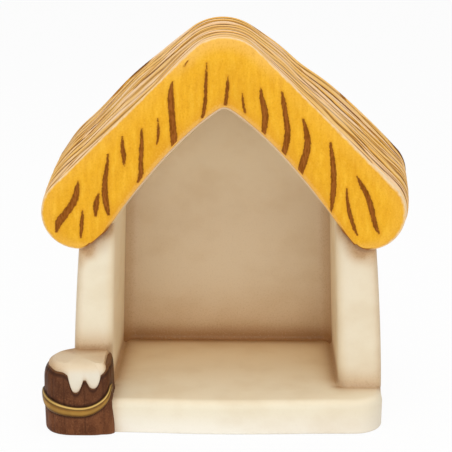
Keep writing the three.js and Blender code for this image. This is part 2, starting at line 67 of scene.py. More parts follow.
Material = bpy.types.Material
Mesh = bpy.types.Mesh
Piece = bpy.types.Object
Pair = tuple[float, float]
Triple = tuple[float, float, float]
Painter = Callable[[Numbers], Numbers]
Settings = dict[str, Any] | None
Inputs = dict[int | str, Any] | None

LOG = logging.getLogger("stable")
METRE = 0.001
# How far a rounding runs along its surface for each millimetre by which it is drawn in
ROUND_RUN = 1.4


# Numbers and curves


def ease(low: float, high: float, value: Numbers | float) -> Numbers:
    """A smooth rise of the value from 0 at low to 1 at high: 3t^2 - 2t^3 with t clamped."""
    share = np.clip((np.asarray(value, float) - low) / (high - low), 0, 1)
    return share * share * (3 - 2 * share)


def bell(distance: Numbers, width: float) -> Numbers:
    """A soft band round zero, exp(-(distance/width)^2)."""
    return np.exp(-((distance / width) ** 2))


def blend(a: Any, b: Any, share: Any) -> Any:
    """The straight mix of a and b, a at share 0 and b at share 1."""
    return a + (b - a) * share


@dataclass
class Unevenness:
    """Smooth seeded unevenness of a hand-made surface: random heights on a unit lattice."""

    seed: int
    cells: int = 64
    lattice: Numbers = field(init=False)

    def __post_init__(self) -> None:
        """Draws the lattice."""
        self.lattice = np.random.default_rng(self.seed).uniform(-1, 1, (self.cells, self.cells))

    def at(self, x: Numbers, y: Numbers) -> Numbers:
        """Heights from -1 to 1: the four lattice heights round a point, mixed with eased shares.

        Args:
            x: places along the first axis, in cells.
            y: places along the second axis, in cells.

        Returns:
            The heights, shaped as x and y together.
        """
        x, y = np.broadcast_arrays(np.asarray(x, float), np.asarray(y, float))
        column, row = np.floor(x), np.floor(y)
        s, t = ease(0, 1, x - column), ease(0, 1, y - row)
        i, j = column.astype(int) % self.cells, row.astype(int) % self.cells
        k, m = (i + 1) % self.cells, (j + 1) % self.cells
        near = blend(self.lattice[i, j], self.lattice[k, j], s)
        far = blend(self.lattice[i, m], self.lattice[k, m], s)
        return blend(near, far, t)


# Meshes


@dataclass
class Surface:
    """A closed surface under construction, as points, faces and painted values at the points."""

    shift: Numbers
    painted: tuple[str, ...] = ()
    points: list[Numbers] = field(default_factory=list)
    faces: list[Indices] = field(default_factory=list)
    paint: dict[str, list[Numbers]] = field(default_factory=dict)
    count: int = 0

    def add(self, points: Numbers, **paint: Numbers) -> Indices:
        """Adds points.

        Args:
            points: places in millimetres, the last axis of length 3.
            paint: for each painted value its three numbers at each point; zeros where left out.

        Returns:
            The points' indices, shaped as the points are.
        """
        shape = points.shape[:-1]
        size = int(np.prod(shape))
        self.points.append(points.reshape(-1, 3))
        for name in self.painted:
            value = np.broadcast_to(paint.get(name, np.zeros(3)), shape + (3,))
            self.paint.setdefault(name, []).append(value.reshape(-1, 3))
        self.count += size
        return np.arange(self.count - size, self.count).reshape(shape)

    def patch(self, grid: Indices, closed: bool = False) -> None:
        """Joins neighbouring rows of a grid of indices with four-sided faces.

        Args:
            grid: indices, one row for each ring.
            closed: whether each ring's last point is joined to its first.
        """
        if closed:
            grid = np.concatenate([grid, grid[:, :1]], axis=1)
        quads = np.stack([grid[:-1, :-1], grid[:-1, 1:], grid[1:, 1:], grid[1:, :-1]], -1)
        quads = quads.reshape(-1, 4)
        narrow = quads[:, 0] == quads[:, 3]
        pinched = quads[:, 1] == quads[:, 2]
        self.faces.append(quads[~(narrow | pinched)])
        self.faces.append(quads[narrow & ~pinched][:, :3])
        self.faces.append(quads[pinched & ~narrow][:, [0, 1, 3]])

    def fan(self, ring: Indices, pole: int) -> None:
        """Closes a ring with triangles to one point."""
        pole_column = np.full(len(ring), pole)
        self.faces.append(np.stack([ring, np.roll(ring, -1), pole_column], -1))

    def tube(self, rings: Numbers, poles: Numbers, painter: Painter | None = None) -> None:
        """Adds a tube and closes its first and last ring with triangles to a pole each.

        Args:
            rings: its rings.
            poles: the two poles.
            painter: gives the colours at points, where the tube has any.
        """
        paint = [{"glaze": painter(points)} if painter else {} for points in (rings, poles)]
        grid = self.add(rings, **paint[0])
        self.patch(grid, closed=True)
        for ring, pole in zip((grid[0], grid[-1]), self.add(poles, **paint[1])):
            self.fan(ring, int(pole))

    def stitch(self, a: Indices, b: Indices) -> None:
        """Joins two lines of points that differ in number, both evenly spaced, with triangles.

        Each step along one line is joined to the point of the other that lies abreast of it.

        Args:
            a: the points' indices along one line.
            b: those along the other.
        """
        steps_a = (np.arange(len(a) - 1) + 0.5) / (len(a) - 1)
        steps_b = (np.arange(len(b) - 1) + 0.5) / (len(b) - 1)
        abreast_b = np.searchsorted(steps_b, steps_a, side="right")
        abreast_a = np.searchsorted(steps_a, steps_b, side="left")
        self.faces.append(np.stack([a[:-1], a[1:], b[abreast_b]], -1))
        self.faces.append(np.stack([b[1:], b[:-1], a[abreast_a]], -1))

    def finish(self, name: str, sharp: float) -> Piece:
        """Writes the surface as an object at the origin, its faces turned outwards.

        Args:
            name: the piece's name.
            sharp: the angle in degrees past which an edge stays sharp.

        Returns:
            The object, linked to the scene.
        """
        points = (np.concatenate(self.points) + self.shift) * METRE
        faces = [face for group in self.faces for face in group.tolist()]
        mesh = bpy.data.meshes.new(name)
        mesh.from_pydata(points.tolist(), [], faces)
        turned = bmesh.new()
        turned.from_mesh(mesh)
        bmesh.ops.recalc_face_normals(turned, faces=turned.faces)
        turned.to_mesh(mesh)
        turned.free()
        for key, values in self.paint.items():
            write_paint(mesh, key, np.concatenate(values))
        smooth(mesh, sharp)
        piece = bpy.data.objects.new(name, mesh)
        bpy.context.scene.collection.objects.link(piece)
        return piece


def write_paint(mesh: Mesh, name: str, values: Numbers) -> None:
    """Keeps three painted numbers at each point of a mesh, for its material to read."""
    layer = mesh.attributes.new(name, "FLOAT_VECTOR", "POINT")
    layer.data.foreach_set("vector", np.ascontiguousarray(values, np.float32).ravel())


def smooth(mesh: Mesh, sharp: float) -> None:
    """Shades a mesh smooth, apart from edges sharper than an angle in degrees."""
    mesh.shade_smooth()
    mesh.set_sharp_from_angle(angle=float(np.radians(sharp)))
    mesh.update()


def places(mesh: Mesh, shift: Numbers) -> Numbers:
    """A mesh's points in the hut's millimetres, whose axes are shifted in the row frame."""
    flat = np.empty(3 * len(mesh.vertices), np.float32)
    mesh.vertices.foreach_get("co", flat)
    return flat.reshape(-1, 3).astype(float) / METRE - shift


def cut_away(piece: Piece, cutters: list[Piece]) -> None:
    """Cuts the cutters' space out of a piece, so that it fits snugly round them.

    Args:
        piece: the piece.
        cutters: closed shapes.
    """
    for cutter in cutters:
        cut = piece.modifiers.new("fit", "BOOLEAN")
        cut.operation, cut.solver, cut.object = "DIFFERENCE", "EXACT", cutter
    bpy.context.view_layer.update()
    graph = bpy.context.evaluated_depsgraph_get()
    fitted = bpy.data.meshes.new_from_object(piece.evaluated_get(graph))
    fitted.name = piece.name
    piece.modifiers.clear()
    piece.data = fitted


# Node trees


def linear(code: str) -> tuple[float, ...]:
    """An sRGB hex colour such as "#F0B030" in linear light, with full opacity."""
    channels = np.array([int(code[i : i + 2], 16) for i in (1, 3, 5)]) / 255
    light = np.where(channels <= 0.04045, channels / 12.92, ((channels + 0.055) / 1.055) ** 2.4)
    return (*light.tolist(), 1.0)


def add_node(
    tree: Tree, kind: str, settings: Settings = None, inputs: Inputs = None, ramp: Any = None
) -> Node:
    """Adds a node with its settings and links.

    Args:
        tree: the material's or world's tree.
        kind: the node's type without its prefix ShaderNode.
        settings: its properties.
        inputs: for each input, by name or number, a socket to link or a value to set.
        ramp: for a colour ramp, its stops as places and hex colours.

    Returns:
        The node.
    """
    node = tree.nodes.new("ShaderNode" + kind)
    for key, value in (settings or {}).items():
        setattr(node, key, value)
    for key, value in (inputs or {}).items():
        if isinstance(value, Socket):
            tree.links.new(value, node.inputs[key])
        else:
            node.inputs[key].default_value = value
    if ramp:
        stops = node.color_ramp.elements
        while len(stops) < len(ramp):
            stops.new(0.5)
        for stop, (place, code) in zip(stops, ramp):
            stop.position, stop.color = place, linear(code)
    return node


class Rise(NamedTuple):
    """A smooth rise or fall: start where the value is at low, end where it is at high."""

    value: Socket
    low: float
    high: float
    start: float = 0.0
    end: float = 1.0


Mark = Union[Rise, Socket, float]


@dataclass
class Finish:
    """A painted and glazed finish: a node tree that paints, bumps and glosses one material."""

    name: str
    tree: Tree = field(init=False)
    material: Material = field(init=False)

    def __post_init__(self) -> None:
        """Starts an empty material."""
        self.material = bpy.data.materials.new(self.name)
        self.material.use_nodes = True
        self.tree = self.material.node_tree
        self.tree.nodes.clear()

    def add(
        self, kind: str, settings: Settings = None, inputs: Inputs = None, output: int | str = 0
    ) -> Socket:
        """Adds a node to this finish, as add_node does, and gives the output that is wanted."""
        return add_node(self.tree, kind, settings, inputs).outputs[output]

    def share(self, *marks: Mark) -> Mark:
        """How much of a coat lies at each point: the product of its marks.

        Args:
            marks: smooth rises, sockets and numbers.

        Returns:
            Their product.
        """
        product = None
        for mark in marks:
            if isinstance(mark, Rise):
                settings = {"interpolation_type": "SMOOTHSTEP"}
                mark = self.add("MapRange", settings, dict(enumerate(mark)))
            if product is not None:
                mark = self.add("Math", {"operation": "MULTIPLY"}, {0: product, 1: mark})
            product = mark
        return product

    def coat(
        self, below: Socket | str, paint: Socket | str, *marks: Mark, way: str = "MIX"
    ) -> Socket:
        """Lays a coat of paint over what is below it.

        Args:
            below: the colours below, or one as a hex code.
            paint: the coat's colours, or one as a hex code.
            marks: how much of it lies at each point, as share takes them.
            way: how the coat mixes with the colours below.

        Returns:
            The colours.
        """
        settings = {"data_type": "RGBA", "blend_type": way, "clamp_factor": True}
        below, paint = (linear(c) if isinstance(c, str) else c for c in (below, paint))
        return self.add("Mix", settings, {0: self.share(*marks), 6: below, 7: paint}, 2)

    def read(self, name: str) -> list[Socket]:
        """The three numbers that the mesh holds under a name."""
        source = self.add("Attribute", {"attribute_name": name}, None, "Vector")
        return list(add_node(self.tree, "SeparateXYZ", None, {0: source}).outputs)

    def axes(self) -> list[Socket]:
        """X, Y and Z on the object, in metres."""
        source = self.add("TexCoord", None, None, "Object")
        return list(add_node(self.tree, "SeparateXYZ", None, {0: source}).outputs)

    def grain(self, size: Triple, detail: float, warp: float = 0) -> Socket:
        """Cloudy grain on the object's own coordinates.

        Args:
            size: its size along X, Y and Z in millimetres.
            detail: how many finer grains are laid into it.
            warp: how far it is stirred.

        Returns:
            The grain, mostly from 0.3 to 0.7.
        """
        source = self.add("TexCoord", None, None, "Object")
        scale = tuple(1 / (METRE * s) for s in size)
        place = self.add("Mapping", None, {"Vector": source, "Scale": scale})
        inputs = {"Vector": place, "Scale": 1.0, "Detail": detail, "Distortion": warp}
        return self.add("TexNoise", None, inputs)

    def uneven(self, value: Socket | float, grain: Socket, reach: float) -> Socket:
        """A value that a grain moves up and down, over a reach with the value in its middle."""
        moved = {0: grain, 1: reach, 2: -reach / 2}
        moved = self.add("Math", {"operation": "MULTIPLY_ADD"}, moved)
        return self.add("Math", {"operation": "ADD"}, {0: value, 1: moved})

    def from_groove(self, count: Socket, pitch: float) -> Socket:
        """How far the nearest groove is, from the count of ridges passed and their pitch."""
        return self.share(self.add("Math", {"operation": "PINGPONG"}, {0: count, 1: 0.5}), pitch)

    def close(
        self, colour: Socket, rough: Socket | float, height: Socket, depth: float, **shader: float
    ) -> None:
        """Joins the colour, roughness and relief to the shader.

        Args:
            colour: the base colour.
            rough: the roughness.
            height: the relief, from 0 to 1.
            depth: how high the relief is in millimetres.
            shader: further sockets of the shader by name, with _ for a space.
        """
        inputs = {"Height": height, "Distance": depth * METRE, "Strength": 1.0}
        bump = self.add("Bump", None, inputs)
        inputs = {"Base Color": colour, "Roughness": rough, "Normal": bump}
        inputs |= {key.replace("_", " "): value for key, value in shader.items()}
        body = self.add("BsdfPrincipled", None, inputs)
        add_node(self.tree, "OutputMaterial", None, {"Surface": body})


# The hut's form


class Side(Enum):
    """The hut's two sides, as the sign of X."""

    LEFT = -1
    RIGHT = 1


@dataclass
class HutForm:
    """The hut's driving sizes and the lines that several pieces share."""

    slab_reach: Pair = (80.2, 82.6)
    slab_depth: float = 108.0
    floor_height: float = 18.0
    step_depth: float = 22.0
    room_half_width: float = 60.0
    outer_lean: float = 5.3
    inner_lean: float = 3.0
    back_thickness: float = 8.0
    cove: float = 8.0
    apex: float = 168.7
    spring: float = 105.0
    spring_half_width: float = 60.0
    steepening: float = 23.8
    apex_round: float = 2.7
    vault_skin: float = 1.2
    vault_bearing: float = 2.6
    skin_thickening: float = 3.0
    roof_front: float = 10.0
    roof_back: float = 110.0
    seam: float = 0.3
    shift: Numbers = field(init=False)

    def __post_init__(self) -> None:
        """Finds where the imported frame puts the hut's X and Y axes."""
        right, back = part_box("base_slab")[1].x / METRE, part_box("thatched_roof")[1].y / METRE
        self.shift = np.array([right - self.slab_reach[1], back - self.roof_back, 0])

    @property
    def back_inner(self) -> float:
        """The back wall's inner face."""
        return self.slab_depth - self.back_thickness

    def reach(self, sign: Numbers) -> Numbers:
        """How far the slab and the walls' feet reach out on a side, given by the sign of X."""
        return np.where(np.asarray(sign) < 0, *self.slab_reach)

    def up_wall(self, z: Numbers) -> Numbers:
        """How far up the wall a height is, from 0 at the floor to 1 at the spring."""
        return np.clip((z - self.floor_height) / (self.spring - self.floor_height), 0, 1)

    def outer(self, z: Numbers, sign: Numbers) -> Numbers:
        """A wall's outer face at a height: it leans in with the 1.5th power."""
        return self.reach(sign) - self.outer_lean * self.up_wall(z) ** 1.5

    def inner(self, z: Numbers) -> Numbers:
        """The walls' inner face at a height: it leans in evenly."""
        return self.room_half_width - self.inner_lean * self.up_wall(z)

    def ceiling(self, x: Numbers) -> Numbers:
        """The ceiling line's height.

        From the apex it falls by two parts: one that is straight but for a rounding at the apex,
        sqrt(x^2 + r^2) - r, and one that grows with x squared.

        Args:
            x: distances from the middle.

        Returns:
            The heights.
        """
        reach = self.spring_half_width
        run = np.hypot(x, self.apex_round) - self.apex_round
        run_out = np.hypot(reach, self.apex_round) - self.apex_round
        fall = self.apex - self.spring - self.steepening
        return self.apex - fall * run / run_out - self.steepening * (x / reach) ** 2

    def ceiling_slope(self, x: Numbers) -> Numbers:
        """The ceiling line's slope, from its heights a hundredth of a millimetre to either side."""
        step = 0.01
        return (self.ceiling(x + step) - self.ceiling(x - step)) / (2 * step)

    def ceiling_line(self, x: Numbers, lift: Numbers | float) -> Numbers:
        """X and Z of the ceiling line's points, moved up square to it by their lift."""
        slope = self.ceiling_slope(x)
        size = np.hypot(1, slope)
        return np.stack([x - lift * slope / size, self.ceiling(x) + lift / size], -1)


@dataclass
class Thatch:
    """The roof's outer form: arcs for ridge, slope, eave and heel that run into each other.

    Pairs hold a size at the front and at the back. The ridge drifts to the left towards the back.
    """

    form: HutForm
    ridge_height: float = 203.6
    ridge_drift: float = 3.0
    ridge_radius: Pair = (23.6, 29.6)
    slope_left: Pair = (44.5, 37.0)
    slope_right: Pair = (44.5, 33.0)
    eave_radius: Pair = (18.8, 20.5)
    reach_left: Pair = (92.2, 98.5)
    reach_right: Pair = (90.1, 101.4)
    bottom_left: Pair = (95.9, 93.4)
    bottom_right: Pair = (95.9, 94.9)
    swell_curve: float = 0.5
    turn_end: float = 178.0
    heel_radius: float = 8.0
    heel_end: float = 227.0
    bedding: float = 0.5
    edge_blend: float = 0.6
    arc_columns: tuple[int, int, int, int] = (18, 96, 50, 16)

    def depth(self, y: Numbers) -> Numbers:
        """The share of the roof's depth, 0 at the front and 1 at the back."""
        front, back = self.form.roof_front, self.form.roof_back
        return np.clip((np.asarray(y, float) - front) / (back - front), 0, 1)

    def eave(self, y: Numbers, sign: Numbers) -> tuple[Numbers, Numbers, Numbers]:
        """An eave's centre, as its distance from the hut's middle and its height, and its radius.

        Reach and height swell with the square root of the depth, the radius evenly.

        Args:
            y: depths.
            sign: the side, as the sign of X.

        Returns:
            The distance, the height and the radius.
        """
        depth = self.depth(y)
        swell = depth**self.swell_curve
        radius = blend(*self.eave_radius, depth)
        reach = np.where(sign < 0, blend(*self.reach_left, swell), blend(*self.reach_right, swell))
        low_left, low_right = blend(*self.bottom_left, swell), blend(*self.bottom_right, swell)
        bottom = np.where(sign < 0, low_left, low_right)
        return reach - radius, bottom + radius, radius

    def half(self, y: Numbers, side: Side) -> tuple[Numbers, ...]:
        """Half of the outer line at each depth.

        The slope is the arc that leaves the ridge arc at its slope and touches the eave's circle.
        The heel is an arc inside the eave's circle that touches it at its lowest part.

        Args:
            y: depths.
            side: which half.

        Returns:
            Points (depth, column, XZ), the angle of each outward direction and the run along it.
        """
        share, sign = self.depth(y)[:, None], side.value
        drift = self.ridge_drift * share
        slopes = self.slope_left if side is Side.LEFT else self.slope_right
        start = np.radians(blend(*slopes, share))
        radius = blend(*self.ridge_radius, share)
        eave_x, eave_z, eave_radius = (part[:, None] for part in self.eave(y, np.float64(sign)))
        eave_x = eave_x + sign * drift
        ridge_z = self.ridge_height - radius
        out_x, out_z = np.sin(start), np.cos(start)
        gap_x, gap_z = radius * out_x - eave_x, ridge_z + radius * out_z - eave_z
        reach = gap_x * out_x + gap_z * out_z - eave_radius
        slope_radius = (gap_x**2 + gap_z**2 - eave_radius**2) / (2 * reach)
        slope_x = (radius - slope_radius) * out_x
        slope_z = ridge_z + (radius - slope_radius) * out_z
        bowed = np.sign(slope_radius)
        turn = np.arctan2(bowed * (eave_x - slope_x), bowed * (eave_z - slope_z))
        end = np.radians(self.turn_end) + 0 * share
        heel_end = np.radians(self.heel_end) + 0 * share
        inwards = eave_radius - self.heel_radius
        heel_x, heel_z = eave_x + inwards * np.sin(end), eave_z + inwards * np.cos(end)
        arcs = [
            (0 * share, ridge_z, radius, 0 * share, start),
            (slope_x, slope_z, slope_radius, start, turn),
            (eave_x, eave_z, eave_radius, turn, end),
            (heel_x, heel_z, self.heel_radius + 0 * share, end, heel_end),
        ]
        spots, angles, runs, passed = [], [], [], 0 * share
        for (x, z, r, low, high), count in zip(arcs, self.arc_columns):
            steps = np.arange(count + (count == self.arc_columns[-1])) / count
            angle = blend(low, high, steps)
            across = sign * (x + r * np.sin(angle)) - drift
            spots.append(np.stack([across, z + r * np.cos(angle)], -1))
            angles.append(angle)
            runs.append(passed + r * (angle - low))
            passed = passed + r * (high - low)
        return np.concatenate(spots, 1), np.concatenate(angles, 1), np.concatenate(runs, 1)

    def line(self, y: Numbers) -> tuple[Numbers, Numbers, Numbers]:
        """The whole outer line at each depth, from the left eave's heel to the right one's.

        Args:
            y: depths.

        Returns:
            What half gives, with angles and runs negative on the left.
        """
        right, right_angle, right_run = self.half(y, Side.RIGHT)
        left, left_angle, left_run = (part[:, :0:-1] for part in self.half(y, Side.LEFT))
        return (
            np.concatenate([left, right], 1),
            np.concatenate([-left_angle, right_angle], 1),
            np.concatenate([-left_run, right_run], 1),
        )

    def soffit(self, x: Numbers, y: Numbers) -> Numbers:
        """The height of the roof's underside beyond the spring.

        It is straight from the spring to the heel, then the heel's arc and then the eave's.

        Args:
            x: distances from the middle, negative on the left.
            y: depths.

        Returns:
            The heights.
        """
        form, sign = self.form, np.where(x < 0, -1.0, 1.0)
        x = np.abs(x)
        eave_x, eave_z, radius = self.eave(y, sign)
        end, heel_end, heel = np.radians(self.turn_end), np.radians(self.heel_end), self.heel_radius
        heel_x = eave_x + (radius - heel) * np.sin(end)
        heel_z = eave_z + (radius - heel) * np.cos(end)
        end_x, end_z = heel_x + heel * np.sin(heel_end), heel_z + heel * np.cos(heel_end)
        spring_x = form.spring_half_width
        soffit = blend(form.spring, end_z, np.clip((x - spring_x) / (end_x - spring_x), 0, 1))
        round_heel = heel_z - np.sqrt(heel**2 - np.clip(x - heel_x, -heel, heel) ** 2)
        round_eave = eave_z - np.sqrt(radius**2 - np.clip(x - eave_x, -radius, radius) ** 2)
        return np.where(x > end_x, np.where(x > heel_x, round_eave, round_heel), soffit)

    def verge_edge(self, x: Numbers) -> Numbers:
        """The height of the front verge's lower edge."""
        form = self.form
        within = np.abs(x) < form.spring_half_width
        return np.where(within, form.ceiling(x), self.soffit(x, form.roof_front + 0 * x))

    def under(self, x: Numbers, y: Numbers) -> Numbers:
        """The height to which a wall rises at a place, bedded a little into what lies on it.

        Under the vault it is the ceiling line less the vault's skin, and beyond it the soffit.
        The skin thickens behind the walls' open ends.

        Args:
            x: distances from the middle, negative on the left.
            y: depths.

        Returns:
            The heights.
        """
        form = self.form
        thickened = ease(form.step_depth, form.step_depth + form.skin_thickening, y)
        skin = (form.vault_skin + form.seam) * thickened
        vault = form.ceiling(x) - skin * np.hypot(1, form.ceiling_slope(x))
        edge = form.inner(form.spring) + form.vault_bearing
        past = ease(edge - self.edge_blend, edge + self.edge_blend, np.abs(x))
        return blend(vault, self.soffit(x, y), past) + self.bedding


# The straw brush strokes painted in the verge's cuts: points from top to bottom, each with X, Z and
# the stroke's width there in millimetres
STRAW_STROKES: tuple[tuple[Triple, ...], ...] = (
    (
        (-73.5, 131, 1), (-74.4, 126, 3.2), (-75.9, 121, 3.8), (-79.4, 115.7, 4),
        (-83.6, 110.2, 4.2), (-85.4, 105, 1.2),
    ),
    ((-71.7, 116, 0.8), (-71.9, 113, 1.7), (-72.2, 110.5, 1.9), (-72.4, 107, 2), (-73, 102, 0.8)),
    (
        (-58.3, 145, 0.8), (-58.8, 139, 2), (-59.9, 132, 2.8), (-60.2, 124.6, 3.4),
        (-59.6, 119, 3.2), (-58.6, 114, 1.5),
    ),
    ((-63.3, 125, 0.8), (-64.3, 121.5, 2.6), (-64.9, 118, 3), (-65.2, 113.4, 1.4)),
    ((-51, 154, 0.8), (-50.9, 148.7, 2.1), (-50.3, 144, 2.5), (-50.3, 139, 0.7)),
    (
        (-41.2, 158, 1), (-41.3, 152, 2.1), (-41.6, 146, 2.5), (-41.9, 140, 2.4), (-42, 135, 2.8),
        (-43.7, 130.6, 1),
    ),
    ((-33.1, 163, 0.7), (-32.8, 158.4, 1.5), (-33, 154.4, 1.3), (-33.9, 150, 0.6)),
    (
        (-25.8, 181.5, 0.8), (-26.5, 176, 3), (-26.5, 170, 3.7), (-26, 164, 3.4),
        (-25.6, 157.5, 3.7), (-25.2, 153, 3.8), (-25.9, 148, 1.4),
    ),
    (
        (-8.7, 191, 0.5), (-9, 185.5, 1.4), (-9.3, 178.5, 1.8), (-9.5, 172.6, 1.8),
        (-10.1, 167.6, 2), (-11, 163.6, 1.3),
    ),
    ((1.6, 184.5, 0.6), (1.5, 179.6, 1.7), (1.1, 175, 1.7), (0.6, 171, 2), (0.3, 168.8, 1.5)),
    ((8.8, 176, 0.4), (9.2, 172, 1.3), (9.5, 169.6, 1.1), (10.2, 166.4, 1.2)),
    (
        (18, 178.6, 0.7), (18.4, 174, 2.3), (19.6, 169, 3.3), (20.2, 163.7, 3.5), (19.7, 158, 2.9),
        (19.2, 153, 1),
    ),
    (
        (28.3, 176.7, 0.9), (29.3, 171, 2.7), (30.3, 164.7, 2.8), (31.3, 158, 3.1),
        (30.9, 151.6, 3.4), (29.7, 146, 2.7), (29.6, 142, 1.2),
    ),
    (
        (39, 163.2, 1), (40.4, 158, 2.5), (41.3, 152.6, 3.4), (41, 147.6, 3.9), (39.6, 142, 4),
        (38.2, 137, 3.4), (37.9, 133, 1.3),
    ),
    (
        (52.7, 151.2, 1.2), (53.7, 144.6, 2.4), (54.4, 137.5, 3), (54.7, 131, 3.2), (54.4, 124, 3),
        (53.6, 116, 1),
    ),
    (
        (61.2, 128.3, 0.6), (61.6, 123, 1.5), (62.4, 118, 2.1), (63.8, 112.8, 2.2),
        (65.3, 108, 1.9), (67, 104, 0.8),
    ),
    (
        (66.2, 134.4, 0.6), (68.6, 130, 2.4), (71.6, 124.7, 2.8), (73.7, 118.5, 3),
        (74.9, 113.4, 2.9), (76.4, 108.2, 2.3), (78.3, 104.4, 0.8),
    ),
    ((-17.8, 193.6, 0.5), (-18.7, 191.4, 0.9), (-19.8, 189, 0.5)),
)
# The brushed width as a share of the strokes' widths
STROKE_WEIGHT = 0.9


def smooth_path(knots: Numbers, steps: int = 5) -> Numbers:
    """A smooth path through points.

    Each span is the cubic that passes its two ends in the direction of their neighbours.

    Args:
        knots: the points, one a row.
        steps: how many straight pieces stand for a span.

    Returns:
        The path's points.
    """
    padded = np.vstack([2 * knots[0] - knots[1], knots, 2 * knots[-1] - knots[-2]])
    heading = (padded[2:] - padded[:-2]) / 2
    t = (np.arange(steps) / steps)[None, :, None]
    a, b, m, n = (part[:, None] for part in (knots[:-1], knots[1:], heading[:-1], heading[1:]))
    span = a + (b - a) * t * t * (3 - 2 * t) + t * (1 - t) * (m * (1 - t) - n * t)
    return np.vstack([span.reshape(-1, knots.shape[1]), knots[-1:]])


def stroke_field(x: Numbers, z: Numbers) -> tuple[Numbers, Numbers]:
    """How far inside the nearest brush stroke each point of the verge lies.

    Along a stroke's smooth path the width is mixed between its points, and the field is the half
    width less the distance to the path, in millimetres, positive inside.

    Args:
        x: distances right of the ridge.
        z: heights.

    Returns:
        The field, at least -9, and the distance from the path as a share of the half width.
    """
    best, across = np.full(x.shape, -9.0), np.full(x.shape, 9.0)
    for stroke in STRAW_STROKES:
        path = smooth_path(np.array(stroke))
        for a, b in zip(path[:-1], path[1:]):
            along = b[:2] - a[:2]
            share = ((x - a[0]) * along[0] + (z - a[1]) * along[1]) / (along @ along)
            share = np.clip(share, 0, 1)
            far = np.hypot(x - a[0] - share * along[0], z - a[1] - share * along[1])
            half = STROKE_WEIGHT * blend(a[2], b[2], share) / 2
            nearer = half - far > best
            best = np.where(nearer, half - far, best)
            across = np.where(nearer, far / half, across)
    return best, across


class Verge(Enum):
    """The roof's two end faces."""

    FRONT = "front"
    BACK = "back"


class Waver(NamedTuple):
    """Slow unevenness along the straw: its height, its cell's run and depth, and its seed."""

    height: float
    run: float
    depth: float
    seed: int

    def at(self, run: Numbers, y: Numbers) -> Numbers:
        """Its height at places on the slopes."""
        return self.height * Unevenness(self.seed).at(run / self.run, y / self.depth)


class Hump(NamedTuple):
    """A low swelling down the slope's back half: where it is, its width and its height."""

    run: float
    width: float
    height: float


